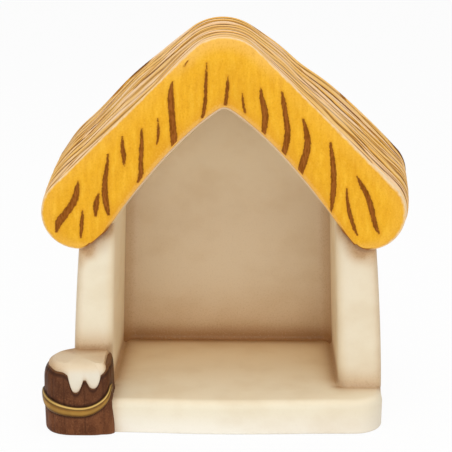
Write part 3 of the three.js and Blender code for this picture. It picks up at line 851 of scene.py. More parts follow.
@dataclass
class ThatchedRoof:
    """The thatch: combed straw on both slopes, a painted verge in front and a plain one behind."""

    form: HutForm
    thatch: Thatch
    verge_round: float = 1.8
    lip_round: float = 0.6
    round_rings: int = 6
    straw_rings: int = 132
    soffit_rings: int = 5
    verge_rows: int = 58
    back_rows: int = 10
    bundle_pitch: float = 12.5
    bundle_depth: float = 1.0
    strand_pitch: float = 7.7
    strand_depth: float = 0.45
    wave_depth: float = 0.5
    slack: float = 0.16
    bundle_sway: tuple[Waver, ...] = (
        Waver(8, 40, 34, 11),
        Waver(2.4, 19, 12, 12),
        Waver(0.9, 9, 9, 18),
    )
    strand_sway: tuple[Waver, ...] = (
        Waver(8, 33, 30, 13),
        Waver(1.9, 15, 8, 14),
        Waver(0.8, 8, 7, 19),
    )
    strand_slant: float = 0.1
    humps: tuple[Hump, ...] = (Hump(-106, 13, 1.6), Hump(-62, 16, 0.8), Hump(52, 12, -1.3))
    verge_pillow: float = 0.7
    verge_pitch: float = 4.6
    verge_relief: float = 0.1
    verge_lumps: float = 0.3
    fan_middle: float = 118.0
    fan_at: tuple[float, ...] = (-85, -72, -60, 0, 50, 64, 75)
    fan_lean: tuple[float, ...] = (0.55, 0.12, 0.07, 0.03, -0.04, -0.27, -0.42)
    cut_depth: float = 0.7
    cut_bank: float = 0.25
    back_inset: float = 0.6
    off_verge: float = 40.0

    def straw(self, run: Numbers, y: Numbers) -> tuple[Numbers, ...]:
        """The straw's lie at places on the slopes.

        Two sets of strands run from ridge to eave, coarse bundles and finer strands between.
        Each is a count of strands along the roof's depth, warped by slow unevenness, so that
        neighbours draw together, part and cross at small angles.

        Args:
            run: distance from the ridge along the slope, negative on the left.
            y: depth.

        Returns:
            The bundles' count, the strands' count, and how strongly each is cut.
        """
        bundles = (y + sum(waver.at(run, y) for waver in self.bundle_sway)) / self.bundle_pitch
        drift = sum(waver.at(run, y) for waver in self.strand_sway)
        strands = (y + drift + self.strand_slant * np.abs(run)) / self.strand_pitch
        bundle_cut = 0.4 + 0.6 * ease(-0.6, 0.3, Unevenness(15).at(run / 34, y / 9))
        strand_cut = ease(-0.5, 0.3, Unevenness(16).at(run / 24, y / 6))
        return bundles, strands, bundle_cut, strand_cut

    def dip(self, run: Numbers, y: Numbers) -> Numbers:
        """How deep the comb has cut: rounded strands, 1 - |sin|^p, with a groove between two."""
        bundles, strands, bundle_cut, strand_cut = self.straw(run, y)
        coarse = 1 - np.abs(np.sin(np.pi * bundles)) ** 0.5
        fine = 1 - np.abs(np.sin(np.pi * strands)) ** 0.6
        return self.bundle_depth * bundle_cut * coarse + self.strand_depth * strand_cut * fine

    def inner_line(self, ends: Numbers, lift: Numbers, count: int) -> Numbers:
        """The verge's lower edge at each depth, evenly spaced from the left eave to the right.

        Args:
            ends: the outer line's first and last point at each depth, (depth, 2, XZ).
            lift: how far the ceiling line is moved up at each depth.
            count: the number of points.

        Returns:
            Points (depth, count, XZ).
        """
        reach = self.form.spring_half_width
        x = np.linspace(-reach, reach, 4 * count)
        lines = []
        for (left, right), up in zip(ends, lift):
            line = np.vstack([left, self.form.ceiling_line(x, up), right])
            run = np.concatenate([[0], np.cumsum(np.hypot(*np.diff(line, axis=0).T))])
            even = np.linspace(0, run[-1], count)
            lines.append(np.stack([np.interp(even, run, part) for part in line.T], -1))
        return np.array(lines)

    def depths(self) -> tuple[Numbers, Numbers]:
        """The rings' depths, closer together where both verges are rounded off.

        Returns:
            The depths, and how far each ring is drawn in.
        """
        turn = np.linspace(0, np.pi / 2, self.round_rings)
        out, back = self.verge_round * (1 - np.cos(turn)), self.verge_round * (1 - np.sin(turn))
        front, rear = self.form.roof_front, self.form.roof_back
        ends = front + self.verge_round, rear - self.verge_round
        straight = np.linspace(*ends, self.straw_rings + 2)
        y = np.concatenate([front + out, straight[1:-1], rear - out[::-1]])
        return y, np.concatenate([back, np.zeros(self.straw_rings), back[::-1]])

    def build(self) -> Piece:
        """Builds the roof's mesh with its painted values.

        Under "straw" it holds the bundles' and the strands' count and how strongly the strands are
        cut. Under "place" come the run, the depth and how far past the verge's rim a point is, and
        under "brush" how far inside a brush stroke it is, how far above the verge's lower edge,
        and how strongly the bundles are cut.

        Returns:
            The piece.
        """
        surface = Surface(self.form.shift, ("straw", "place", "brush"))
        y, drawn_in = self.depths()
        spots, angle, run = self.thatch.line(y)
        count = spots.shape[1]
        depth = np.broadcast_to(y[:, None], run.shape)
        front, rear = self.form.roof_front, self.form.roof_back
        bundles, strands, bundle_cut, strand_cut = self.straw(run, depth)
        on_slope = 1 - ease(np.radians(125), np.radians(170), np.abs(angle))
        on_top = ease(front + 1.5, front + 5, depth) * (1 - ease(rear - 4, rear - 1, depth))
        wave = self.wave_depth * (1 - Unevenness(17).at(run / 14, depth / 40)) / 2
        dip = (self.dip(run, depth) + wave) * on_slope * on_top
        toward_back = ease(front + 10, front + 60, depth)
        dip += self.slack * on_slope * toward_back
        for hump in self.humps:
            dip -= hump.height * bell(run - hump.run, hump.width) * toward_back
        out = np.stack([np.sin(angle), np.cos(angle)], -1)
        moved = spots - out * (dip + drawn_in[:, None])[..., None]
        points = np.stack([moved[..., 0], depth, moved[..., 1]], -1)
        turned = np.where(depth < (front + rear) / 2, drawn_in[:, None] * ROUND_RUN, -1)
        before = np.where(turned > 0, turned, front + self.verge_round - depth)
        outer = surface.add(
            points,
            straw=np.stack([bundles, strands, strand_cut * on_slope], -1),
            place=np.stack([run, depth, before], -1),
            brush=np.stack([0 * run - 9, 0 * run + self.off_verge, bundle_cut * on_slope], -1),
        )
        surface.patch(outer)
        soffit = self.soffit(surface, outer, spots, y, drawn_in * self.lip_round / self.verge_round)
        self.verge(surface, outer[0], soffit[0], points[0], Verge.FRONT)
        self.verge(surface, outer[-1], soffit[-1], points[-1], Verge.BACK)
        LOG.info("roof: %d columns, %d rings", count, len(y))
        return surface.finish("straw_thatch", 60)

    def soffit(
        self, surface: Surface, outer: Indices, spots: Numbers, y: Numbers, drawn_in: Numbers
    ) -> Indices:
        """Adds the underside along the ceiling line, on fewer rings than the straw has.

        Args:
            surface: the roof's surface.
            outer: the outer rings' indices.
            spots: the outer line's places without straw.
            y: the rings' depths.
            drawn_in: how far each ring is drawn in.

        Returns:
            The underside's indices.
        """
        last = len(y) - 1
        few = np.linspace(self.round_rings, last - self.round_rings, self.soffit_rings).astype(int)
        behind = np.arange(last - self.round_rings + 1, last + 1)
        rows = np.concatenate([np.arange(self.round_rings), few, behind])
        ends = spots[rows][:, [0, -1]]
        line = self.inner_line(ends, drawn_in[rows], outer.shape[1])
        deep = np.broadcast_to(y[rows][:, None], line.shape[:2])
        points = np.stack([line[..., 0], deep, line[..., 1]], -1)
        grid = surface.add(
            points[:, 1:-1],
            place=np.stack([0 * deep, deep, 0 * deep + 1], -1)[:, 1:-1],
            brush=np.array([-9.0, 0.0, 0.0]),
        )
        whole = np.concatenate([outer[rows][:, :1], grid, outer[rows][:, -1:]], 1)
        surface.patch(grid)
        for row in range(len(rows) - 1):
            fine = np.arange(rows[row], rows[row + 1] + 1)
            surface.stitch(outer[fine, 0], grid[row : row + 2, 0])
            surface.stitch(outer[fine, -1], grid[row : row + 2, -1])
        return whole

    def verge(
        self, surface: Surface, outer: Indices, inner: Indices, edge: Numbers, verge: Verge
    ) -> None:
        """Adds one end face of the roof.

        Rows are mixed between the outer and the lower edge. The front swells softly, has straw
        modelled down it, fanned out towards the eaves, and a shallow cut under each brush stroke.

        Args:
            surface: the roof's surface.
            outer: indices of the outer edge.
            inner: indices of the lower edge.
            edge: the outer edge's places.
            verge: which end.
        """
        known = np.concatenate(surface.points)
        low = known[inner]
        rows = self.verge_rows if verge is Verge.FRONT else self.back_rows
        share = np.linspace(0, 1, rows + 2)[1:-1, None]
        x = blend(edge[:, 0], low[:, 0], share)[:, 1:-1]
        z = blend(edge[:, 2], low[:, 2], share)[:, 1:-1]
        wide = np.hypot(edge[:, 0] - low[:, 0], edge[:, 2] - low[:, 2])[1:-1]
        from_rim, from_low = share * wide, (1 - share) * wide
        held = ease(0, 4, from_rim) * ease(0, 4, from_low)
        swell = self.verge_pillow * ease(0, 12, from_rim) * ease(0, 12, from_low)
        fan = x - np.interp(x, self.fan_at, self.fan_lean) * (z - self.fan_middle)
        straws = fan / self.verge_pitch + 0.8 * Unevenness(21).at(x / 15, z / 45)
        strong = ease(-0.5, 0.6, Unevenness(22).at(fan / 6, z / 34))
        modelled = self.verge_relief * strong * np.abs(np.sin(np.pi * straws))
        modelled += self.verge_lumps * Unevenness(23).at(x / 11, z / 17)
        stroke, across = stroke_field(x, z)
        if verge is Verge.FRONT:
            bank = self.cut_bank * bell(stroke + 0.9, 0.8)
            cut = self.cut_depth * ease(-0.5, 1.2, stroke)
            y = self.form.roof_front - swell - held * (modelled + bank - cut)
        else:
            y = self.form.roof_back - 0.06 - held * (self.back_inset - modelled)
            stroke = 0 * stroke - 9
        rim = from_rim + ROUND_RUN * self.verge_round
        grid = surface.add(
            np.stack([x, y, z], -1),
            straw=np.stack([straws, across, strong], -1),
            place=np.stack([fan, 0 * x + self.form.roof_front, rim], -1),
            brush=np.stack([stroke, from_low, 0 * x], -1),
        )
        middle = np.concatenate([outer[None, 1:-1], grid, inner[None, 1:-1]])
        surface.patch(middle)
        for end in (0, -1):
            ring = middle[:, end]
            corner = np.full(len(ring) - 1, outer[end])
            surface.faces.append(np.stack([ring[:-1], ring[1:], corner], -1))


# The cream castings. Their painted value "glaze" is the paint's colour in linear light, laid on in
# soft airbrushed layers. Some layers are painted light and shade: paler at the slab's foot, paler
# high on the back wall, and brown in the folds and under the eave that is partly painted shade.


def sprayed(*coats: tuple[str, Numbers | float]) -> Numbers:
    """Sprays coats of colour over one another; the first of them covers everything.

    Args:
        coats: for each its sRGB hex colour, and how much of it there is at each point.

    Returns:
        The mixed colours in linear light, one for each point of the coats.
    """
    glaze = np.zeros(3)
    for code, share in coats:
        share = np.clip(share, 0, 1)[..., None]
        glaze = blend(glaze, np.array(linear(code)[:3]), share)
    return glaze


@dataclass(frozen=True)
class CreamColours:
    """The cream castings' colours, from bare glaze to the brown in the folds, which is partly
    painted shade, and a pale that is painted light at the slab's foot.
    """

    cream: str = "#EFE5CC"
    pale: str = "#F6F0E2"
    snow: str = "#E2D9C6"
    honey: str = "#F7E9CB"
    gold: str = "#F0D9B2"
    sand: str = "#DFCBAC"
    tan: str = "#CDA97C"
    band: str = "#9C6C3B"
    line: str = "#74451C"


COLOURS = CreamColours()


@dataclass
class FloorSlab:
    """The slab: bulging front, rounded top edge, foot rim and a shallow recess underneath."""

    form: HutForm
    bulge: float = 2.2
    front_corner: float = 16.0
    back_corner: float = 3.0
    top_round: float = 4.5
    edge_rings: int = 11
    bottom_round: float = 1.3
    tuck: float = 0.3
    shy: float = 0.15
    foot_rim: float = 9.0
    recess: float = 1.5
    vent_radius: float = 4.5
    vent_depth: float = 6.0
    bucket_span: float = 22.5

    def half_outline(self, inset: float, side_inset: float, side: Side) -> Numbers:
        """Half of the slab's plan: a bowed front, a round front corner, a side and the back.

        Args:
            inset: how far the open front part is drawn in.
            side_inset: how far the side under the wall and the back are.
            side: which half.

        Returns:
            X and Y from the front's middle to the back's, X as if it were the right half.
        """
        half, radius = float(self.form.reach(side.value)), self.front_corner
        step = self.form.step_depth + self.top_round
        wall, back = half - side_inset, self.form.slab_depth - side_inset
        share = np.arange(0, 32) / 32
        bow = self.bulge * np.cos(np.pi / 2 * share) ** 2
        front = np.stack([(half - radius) * share, inset - bow], -1)
        turn, arc = np.radians(np.linspace(-90, 0, 19)), radius - inset
        corner = np.stack([half - radius + arc * np.cos(turn), radius + arc * np.sin(turn)], -1)
        up = np.linspace(0, 1, 42)[1:, None]
        along = blend(corner[-1], np.array([wall, back - self.back_corner]), up)
        along[:, 0] = blend(half - inset, wall, ease(radius, step, along[:, 1]))
        turn = np.radians(np.linspace(0, 90, 7))[1:]
        heel = self.back_corner * np.stack([np.cos(turn) - 1, np.sin(turn) - 1], -1) + [wall, back]
        rear = blend(heel[-1], np.array([0, back]), np.linspace(0, 1, 26)[1:, None])
        return np.vstack([front, corner, along, heel, rear])

    def outline(self, inset: float, side_inset: float) -> Numbers:
        """X and Y round the whole slab, from the front's middle to the right and back."""
        right = self.half_outline(inset, side_inset, Side.RIGHT)
        left = self.half_outline(inset, side_inset, Side.LEFT)
        return np.vstack([right, left[-2:0:-1] * [-1, 1]])

    def rings(self) -> Numbers:
        """Rings up the slab's side and over its rounded top edge.

        Returns:
            Points (ring, column, XYZ).
        """
        rings = []
        for turn in np.linspace(0, np.pi / 2, 7):
            inset = self.tuck + self.bottom_round * (1 - np.sin(turn))
            rings.append((self.outline(inset, inset), self.bottom_round * (1 - np.cos(turn))))
        for share in np.linspace(0, 1, 5)[1:-1]:
            inset = blend(self.tuck, self.shy, ease(0, 1, share))
            height = blend(self.bottom_round, self.form.floor_height - self.top_round, share)
            rings.append((self.outline(inset, inset), height))
        for turn in np.linspace(0, np.pi / 2, self.edge_rings):
            inset = self.top_round * (1 - np.cos(turn))
            height = self.form.floor_height - self.top_round * (1 - np.sin(turn))
            rings.append((self.outline(inset + self.shy, self.shy), height))
        return np.array([np.column_stack([plan, np.full(len(plan), z)]) for plan, z in rings])

    def paint(self, points: Numbers) -> Numbers:
        """The slab's paint: paler down its side as painted light, honey on the floor, and brown at
        the back of the floor and along the walls' feet that is partly airbrush and partly painted
        shade.

        Args:
            points: places on the slab.

        Returns:
            The colours there.
        """
        across, y, z = points[..., 0], points[..., 1], points[..., 2]
        form, tan, band = self.form, COLOURS.tan, COLOURS.band
        on_top = ease(form.floor_height - 3.2, form.floor_height - 0.1, z)
        from_back = form.back_inner - y
        from_side = form.inner(form.floor_height) - np.abs(across)
        inside = ease(-1.5, 1.5, from_side) * on_top * ease(-5, -2, from_back)
        deep = ease(form.step_depth - 8, form.step_depth + 14, y) * on_top
        beside = ease(-6, 2, -from_side) * on_top
        from_ends = y - form.step_depth
        by_bucket = np.maximum(across + form.slab_reach[0] - self.bucket_span, 0)
        return sprayed(
            (COLOURS.cream, 1 + 0 * y),
            # Painted light: paler towards the foot, where the white table bounces light up
            (COLOURS.pale, 1 - ease(1, 15, z)),
            (COLOURS.sand, 0.3 * ease(20, 75, across)),
            # The floor, browner towards the back under the roof and at the back wall's foot: partly
            # airbrush, partly painted shade
            (COLOURS.honey, 0.8 * on_top),
            (COLOURS.gold, 0.9 * inside * (1 - ease(10, 90, from_back))),
            (tan, 0.6 * inside * (1 - ease(-2, 26, from_back))),
            (band, 0.95 * inside * bell(np.maximum(from_back - 1.5, 0), 5)),
            # Along the walls' feet, round their open ends and beside the bucket: brown that is
            # partly airbrush and partly painted shade in these folds
            (tan, 0.8 * deep * bell(from_side, 7)),
            (band, 0.6 * deep * bell(from_side, 3.2)),
            (tan, beside * (0.3 + 0.3 * (across > 0)) * bell(from_ends, 7)),
            (band, 0.75 * beside * bell(from_ends, 2)),
            (tan, 0.5 * bell(by_bucket, 3.5) * (1 - ease(16, 30, y))),
        )

    def build(self) -> Piece:
        """Builds the slab: rings over its side, closed by shrinking rings above and below.

        Returns:
            The piece.
        """
        surface = Surface(self.form.shift, ("glaze",))
        rings = self.rings()
        middle = np.array([0, self.form.slab_depth / 2, 0])
        shrink = np.linspace(1, 0, 44)[1:-1, None, None]
        top = blend(rings[-1] * [0, 0, 1] + middle, rings[-1], shrink)
        rim = 1 - self.foot_rim / (self.form.slab_depth / 2)
        edge = blend(rings[0] * [0, 0, 1] + middle, rings[0], rim)
        direction = rings[0] - middle
        direction = direction / np.linalg.norm(direction[:, :2], axis=1)[:, None]
        lip = blend(middle, edge, 0.985) + [0, 0, self.recess]
        mouth = middle + direction * [self.vent_radius, self.vent_radius, 0] + [0, 0, self.recess]
        deep = mouth + [0, 0, self.vent_depth - self.recess]
        half_way = blend(lip, mouth, 0.5)
        stack = np.concatenate([np.array([deep, mouth, half_way, lip, edge]), rings, top])
        poles = middle + np.outer([self.vent_depth, self.form.floor_height], [0, 0, 1])
        surface.tube(stack, poles, self.paint)
        return surface.finish("floor_slab", 50)

    def cutter(self) -> Piece:
        """The slab's upper form carried down past the floor, for fitting the bucket to it."""
        surface = Surface(self.form.shift)
        rings = self.rings()[-self.edge_rings :]
        below = rings[0] * [1, 1, 0] - [0, 0, 5]
        middle = np.array([0, self.form.slab_depth / 2, 0])
        poles = middle + np.outer([-5, self.form.floor_height], [0, 0, 1])
        surface.tube(np.concatenate([below[None], rings]), poles)
        return surface.finish("slab_cutter", 30)


def plan_points(*columns: Numbers | float) -> Numbers:
    """Plan points, one a row, from their columns, in which a number stands for every row."""
    return np.stack(np.broadcast_arrays(*columns), -1).astype(float)


@dataclass
class Upright:
    """A casting that stands on the slab and ends under the roof, given by its plan.

    Each plan point is a share between the walls' inner and outer face, an offset in X, a Y and how
    much the foot flares there, so that the piece leans as the walls do.
    """

    form: HutForm
    thatch: Thatch
    flare: float = 2.0
    bedding: float = 0.8
    levels: int = 56

    def heights(self) -> Numbers:
        """Shares of the height, closer together in the flare at the foot and under the eave."""
        foot = [0, 0.008, 0.0105, 0.013, 0.016, 0.02, 0.025]
        eave = np.linspace(0.88, 1, 25)[1:]
        return np.concatenate([foot, np.linspace(0.032, 0.88, self.levels), eave])

    def stand(
        self, share: Numbers, offset: Numbers, y: Numbers, out: Numbers, sign: Numbers
    ) -> Numbers:
        """Rings of the standing surface.

        The top of each column is where the roof's underside is above it, found in a few rounds
        because the lean moves the column as it rises.

        Args:
            share: where each point is between the inner and the outer face.
            offset: its distance from there in X.
            y: its depth.
            out: its flare's direction in X and Y, as large as the flare is there.
            sign: the side of the hut.

        Returns:
            Points (level, column, XYZ).
        """
        level = self.heights()[:, None]
        base = self.form.floor_height - self.bedding
        z = np.broadcast_to(blend(base, self.form.spring, level), (len(level), len(y)))
        for _ in range(6):
            x = blend(self.form.inner(z), self.form.outer(z, sign), share) + offset
            z = blend(base, self.thatch.under(x * sign, y), level)
        flare = self.flare_at(z)
        return np.stack([(x + flare * out[:, 0]) * sign, y + flare * out[:, 1], z], -1)

    def flare_at(self, z: Numbers) -> Numbers:
        """How far the foot flares at a height: a quarter circle down to the floor."""
        rise = np.clip(self.flare - (z - self.form.floor_height), 0, self.flare)
        return self.flare - np.sqrt(self.flare**2 - rise**2)

    def close(self, surface: Surface, rings: Numbers, glaze: Numbers) -> None:
        """Adds the rings and closes them above, along the roof's underside, and below.

        Args:
            surface: the casting's surface.
            rings: its rings from the foot up.
            glaze: their painted colours.
        """
        grid = surface.add(rings, glaze=glaze)
        surface.patch(grid, closed=True)
        centre = rings[-1].mean(0)
        inner = [blend(rings[-1], centre, share) for share in (0.25, 0.5, 0.75)]
        for ring in inner:
            ring[:, 2] = self.thatch.under(ring[:, 0], ring[:, 1])
        lid = surface.add(np.array(inner))
        surface.patch(np.concatenate([grid[-1:], lid]), closed=True)
        centre[2] = self.thatch.under(centre[0], centre[1])
        foot = rings[0].mean(0)
        high, low = surface.add(np.array([centre, foot]))
        surface.fan(lid[-1], int(high))
        surface.fan(grid[0], int(low))


@dataclass
class SideWall(Upright):
    """A thick side wall, rounded at its open end."""

    side: Side = Side.RIGHT
    inner_round: float = 6.0
    outer_round: float = 4.0
    behind_bucket: float = 20.5
    hidden: float = 3.2
    toward_middle: float = 0.984

    def plan(self) -> tuple[Numbers, ...]:
        """The wall's plan from the back of its inner face round its open end to the back.

        Returns:
            The plan's shares, offsets, depths and flares, as stand takes them.
        """
        front, back = self.form.step_depth, self.form.back_inner
        a, b = self.inner_round, self.outer_round
        turn = np.radians(np.linspace(180, 270, 25))
        right, rear = np.cos(turn), np.sin(turn)
        outward = np.radians(np.linspace(270, 360, 9))
        flare = (1 - ease(0, 0.6, np.cos(outward))) * np.sin(outward)
        q = np.linspace(0, 1, 45)[1:-1]
        plan = np.vstack(
            [
                plan_points(0, 0, np.linspace(back, front + a, 34)[:-1], -1, 0),
                plan_points(0, a + a * right, front + a + a * rear, right, rear),
                plan_points(q, a * (1 - q) - b * q, front, 0, -1),
                plan_points(
                    1, -b + b * np.cos(outward), front + b + b * np.sin(outward), 0, flare
                ),
                plan_points(1, 0, np.linspace(front + b, back, 30)[1:], 0, 0),
                plan_points(np.linspace(1, 0, 9)[1:-1], 0, back, 0, 0),
            ]
        )
        return plan[:, 0], plan[:, 1], plan[:, 2], plan[:, 3:]

    def paint(self, points: Numbers) -> Numbers:
        """The wall's paint: a wash in the room, and brown at the back, the foot, the outer corner
        and under the eave that is partly airbrush and partly painted shade.

        Args:
            points: places on the wall.

        Returns:
            The colours there.
        """
        across, y, z = points[..., 0], points[..., 1], points[..., 2]
        x, form, right = np.abs(across), self.form, self.side is Side.RIGHT
        tan, band, start = COLOURS.tan, COLOURS.band, self.form.step_depth
        from_floor, from_outer = z - form.floor_height, x - form.outer(z, across)
        room = 1 - ease(0.5, 5, x - form.inner(z))
        from_corner = form.back_inner - 0.2 * form.cove - y
        along = ease(start - 2, start + 8, y) * room
        front = 1 - ease(start + 1, start + 7, y)
        foot = np.maximum(from_floor - (0 if right else self.behind_bucket), 0)
        below = self.thatch.verge_edge(across * self.toward_middle) - self.hidden - z
        uneven = below + 2.5 * Unevenness(41).at(across / 5, z / 6)
        return sprayed(
            (COLOURS.cream, 1 + 0 * y),
            # The room's side, deeper on the right wall towards the back as painted shade, and its
            # back corner, brown that is partly airbrush and partly painted shade
            (COLOURS.honey, room),
            (COLOURS.gold, (0.25 if right else 0) * room * ease(start, start + 34, y)),
            (COLOURS.gold, 0.4 * room * bell(from_corner, 9)),
            (band, 0.25 * room * bell(from_corner, 4)),
            # Along the foot, in the room and in front, and on the left wall above the bucket: brown
            # that is partly airbrush and partly painted shade in the fold
            (tan, 0.8 * along * bell(from_floor, 7)),
            (band, 0.5 * along * bell(from_floor, 2.4)),
            (tan, (0.9 if right else 0.75) * front * bell(foot, 8)),
            (band, 0.6 * front * bell(foot, 1.8)),
            # The open end: a wash, shade under the eave and a dark line along the verge
            (COLOURS.sand, (0.35 if right else 0.1) * front),
            (tan, 0.9 * front * (1 - ease(0, 13, uneven))),
            (band, 0.35 * front * (1 - ease(0, 6, uneven))),
            (COLOURS.line, 0.45 * front * (1 - ease(0, 1.9, below))),
            # The outer corner, darker where the wall turns away as partly painted shade, and the
            # outer side
            (tan, 0.45 * front * bell(from_outer, 3)),
            (COLOURS.sand, 0.35 * ease(-1.5, 0.2, from_outer)),
        )

    def build(self) -> Piece:
        """Builds the wall."""
        surface = Surface(self.form.shift, ("glaze",))
        rings = self.stand(*self.plan(), np.float64(self.side.value))
        self.close(surface, rings, self.paint(rings))
        return surface.finish(f"{self.side.name.lower()}_side_wall", 50)

    def cutter(self) -> Piece:
        """The wall from just below the floor's level, for fitting the bucket to it."""
        surface = Surface(self.form.shift)
        rings = self.stand(*self.plan(), np.float64(self.side.value))
        rings[0, :, 2] -= 1
        self.close(surface, rings, np.zeros(rings.shape))
        return surface.finish("wall_cutter", 30)


class Spread(IntEnum):
    """How a point of the back wall's plan keeps its place as the corners lean in."""

    CORNER = 0
    FACE = 1
    REAR = 2


@dataclass
class BackWall(Upright):
    """The gabled back with a cove up each inner corner."""

    levels: int = 78
    corner_round: float = 2.0

    def plan(self) -> tuple[Numbers, ...]:
        """The back's plan from the middle of its inner face round its right half to the rear.

        Returns:
            The plan's shares, offsets, depths, flares in X and Y, and spreads.
        """
        inside, back, cove = self.form.back_inner, self.form.slab_depth, self.form.cove
        face, r = self.form.inner(self.form.floor_height) - cove, self.corner_round
        turn, heel = np.radians(np.linspace(90, 0, 15)), np.radians(np.linspace(0, 90, 6))
        right, rear = np.cos(turn), np.sin(turn)
        q = np.linspace(1, 0, 34)[1:]
        plan = np.vstack(
            [
                plan_points(0, np.linspace(0, face, 30)[:-1], inside, 0, -1, Spread.FACE),
                plan_points(0, -cove + cove * right, inside - cove + cove * rear, -right, -rear, 0),
                plan_points([0, 0.5, 1], [0.02, 0, 0], inside, 0, 0, 0),
                plan_points(1, -r + r * np.cos(heel), back - r + r * np.sin(heel), 0, 0, 0),
                plan_points(q, -r * q, back, 0, 0, Spread.REAR),
            ]
        )
        return tuple(plan.T)

    def build(self) -> Piece:
        """Builds the back wall, whose face and rear are spread evenly between the two corners.

        Returns:
            The piece.
        """
        surface = Surface(self.form.shift, ("glaze",))
        share, offset, y, out_x, out_y, spread = self.plan()
        sign = np.concatenate([np.ones(len(y)), -np.ones(len(y) - 2)])
        order = np.concatenate([np.arange(len(y)), np.arange(len(y) - 2, 0, -1)])
        share, offset, y, spread = share[order], offset[order], y[order], spread[order]
        out = np.stack([out_x, out_y], -1)[order]
        level = self.heights()[:, None]
        base = self.form.floor_height - self.bedding
        face = self.form.inner(base) - self.form.cove
        z = np.broadcast_to(blend(base, self.form.spring, level), (len(level), len(y)))
        for _ in range(8):
            inner, outer = self.form.inner(z), self.form.outer(z, sign)
            x = blend(inner, outer, share) + offset
            x = np.where(spread == Spread.FACE, offset * (inner - self.form.cove) / face, x)
            x = np.where(spread == Spread.REAR, share * (outer - self.corner_round), x)
            z = blend(base, self.thatch.under(x * sign, y), level)
        flare = self.flare_at(z)
        rings = np.stack([(x + flare * out[:, 0]) * sign, y + flare * out[:, 1], z], -1)
        self.close(surface, rings, self.paint(rings))
        return surface.finish("gabled_back_wall", 50)

    def paint(self, points: Numbers) -> Numbers:
        """The back's paint: a sandy wash in the room, paler high up as painted light, and brown
        along the floor and up the coves that is partly airbrush and partly painted shade.

        Args:
            points: places on the wall.

        Returns:
            The colours there.
        """
        x, y, z = np.abs(points[..., 0]), points[..., 1], points[..., 2]
        form, tan, band = self.form, COLOURS.tan, COLOURS.band
        room = 1 - ease(form.back_inner + 0.1, form.back_inner + 0.6, y)
        room = room * (1 - ease(0.5, 3, x - form.inner(z)))
        from_floor = z - form.floor_height
        from_cove = np.maximum(form.inner(z) - x - 0.3 * form.cove, 0)
        return sprayed(
            (COLOURS.cream, 1 + 0 * y),
            (COLOURS.sand, room),
            # Painted light: paler high up, where the roof shades the room
            (COLOURS.honey, 0.8 * room * ease(85, 140, z)),
            # Browner low down, along the floor and up the coves: partly airbrush, partly painted
            # shade
            (tan, 0.75 * room * bell(np.maximum(from_floor, 0), 26)),
            (tan, 0.15 * room * bell(from_cove, 7)),
            (band, 0.3 * room * bell(from_cove, 3.2)),
            (band, 0.85 * room * bell(np.maximum(from_floor - 1.5, 0), 6.5)),
            (COLOURS.line, 0.25 * room * bell(np.maximum(from_floor, 0), 1.6)),
        )


@dataclass
class CeilingVault:
    """The cream skin under the roof, with a rounded lip that rims the opening."""

    form: HutForm
    steps: int = 120
    rings: int = 30
    setback: float = 0.8
    lip: float = 0.5
    bedding: float = 0.5
    fading: float = 22.0
    thin_end: float = 0.03

    def build(self) -> Piece:
        """Builds the vault: a thin section along the ceiling line, carried from front to back.

        Its upper side is bedded in the roof. Its lower side drops from the lip's thickness to the
        skin's over the first millimetres, and its ends are rounded to a thin line. In front of the
        walls the lip fades into the roof towards its feet.

        Returns:
            The piece.
        """
        form = self.form
        surface = Surface(form.shift, ("glaze",))
        reach = form.inner(form.spring) + form.vault_bearing
        x = np.linspace(-reach, reach, self.steps + 1)
        turn = np.radians([0, 30, 60, 90])
        start, round_off = form.roof_front + self.setback, self.lip / 2
        ends = start + round_off, form.roof_back - round_off
        straight = blend(*ends, np.linspace(0, 1, self.rings) ** 2)
        out = round_off * (1 - np.sin(turn))
        y = np.concatenate([start + out[::-1], straight[1:-1], form.roof_back - out])
        low = form.seam + blend(self.lip, form.vault_skin, ease(start + 1, start + 9, y))
        slim = np.ones(len(y))
        slim[-len(turn) :] = np.maximum(np.cos(turn), self.thin_end)
        slim[: len(turn)] = slim[: -len(turn) - 1 : -1]
        rings = []
        for depth, bottom, share in zip(y, low, slim):
            ended = ease(0, self.fading, reach - np.abs(x))
            ended = ended + ease(form.step_depth, form.step_depth + form.skin_thickening, depth)
            bottom = blend(-self.bedding / 2, bottom, np.minimum(ended, 1))
            middle, half = (self.bedding - bottom) / 2, (self.bedding + bottom) / 2 * share
            lower = form.ceiling_line(x, middle - half)
            upper = form.ceiling_line(x[::-1], middle + half)
            ring = np.vstack([lower, upper])
            rings.append(np.column_stack([ring[:, 0], np.full(len(ring), depth), ring[:, 1]]))
        rings = np.array(rings)
        grid = surface.add(rings, glaze=self.paint(rings))
        surface.patch(grid, closed=True)
        count = len(x)
        for ring, flip in ((grid[0], 1), (grid[-1], -1)):
            pair = np.stack([ring[:count], ring[: count - 1 : -1]])
            surface.patch(pair[::flip])
        return surface.finish("ceiling_vault_skin", 50)

    def paint(self, points: Numbers) -> Numbers:
        """The vault's paint: a tanned lip, then a soft wash towards the back wall, where it turns
        tan, partly as painted shade.

        Args:
            points: places on the vault.

        Returns:
            The colours there.
        """
        y, front = points[..., 1], self.form.roof_front
        return sprayed(
            (COLOURS.cream, 1 + 0 * y),
            (COLOURS.tan, 0.75 * (1 - ease(front + 3, front + 9, y))),
            (COLOURS.gold, ease(front + 1, front + 12, y)),
            # Tan where the vault meets the back wall: partly airbrush, partly painted shade
            (COLOURS.tan, 0.7 * bell(self.form.back_inner - y, 9)),
        )


# The bucket, its snow and its bail


class SnowRun(NamedTuple):
    """A run of snow: its angle, its width to the left and right, its fall and its bluntness."""

    at: float
    left: float
    right: float
    fall: float
    blunt: float


class SnowRise(NamedTuple):
    """Where the snow's edge rises: by how much, and the angles where it grows and fades."""

    height: float
    start: float
    full: float
    fading: float
    end: float

    def share(self, degrees: Numbers) -> Numbers:
        """How full the rise is at an angle."""
        return ease(self.start, self.full, degrees) * (1 - ease(self.fading, self.end, degrees))


class BailRise(NamedTuple):
    """How the bail rises to an end: by how much, to which angle, and the power of its curve."""

    height: float
    end: float
    power: float


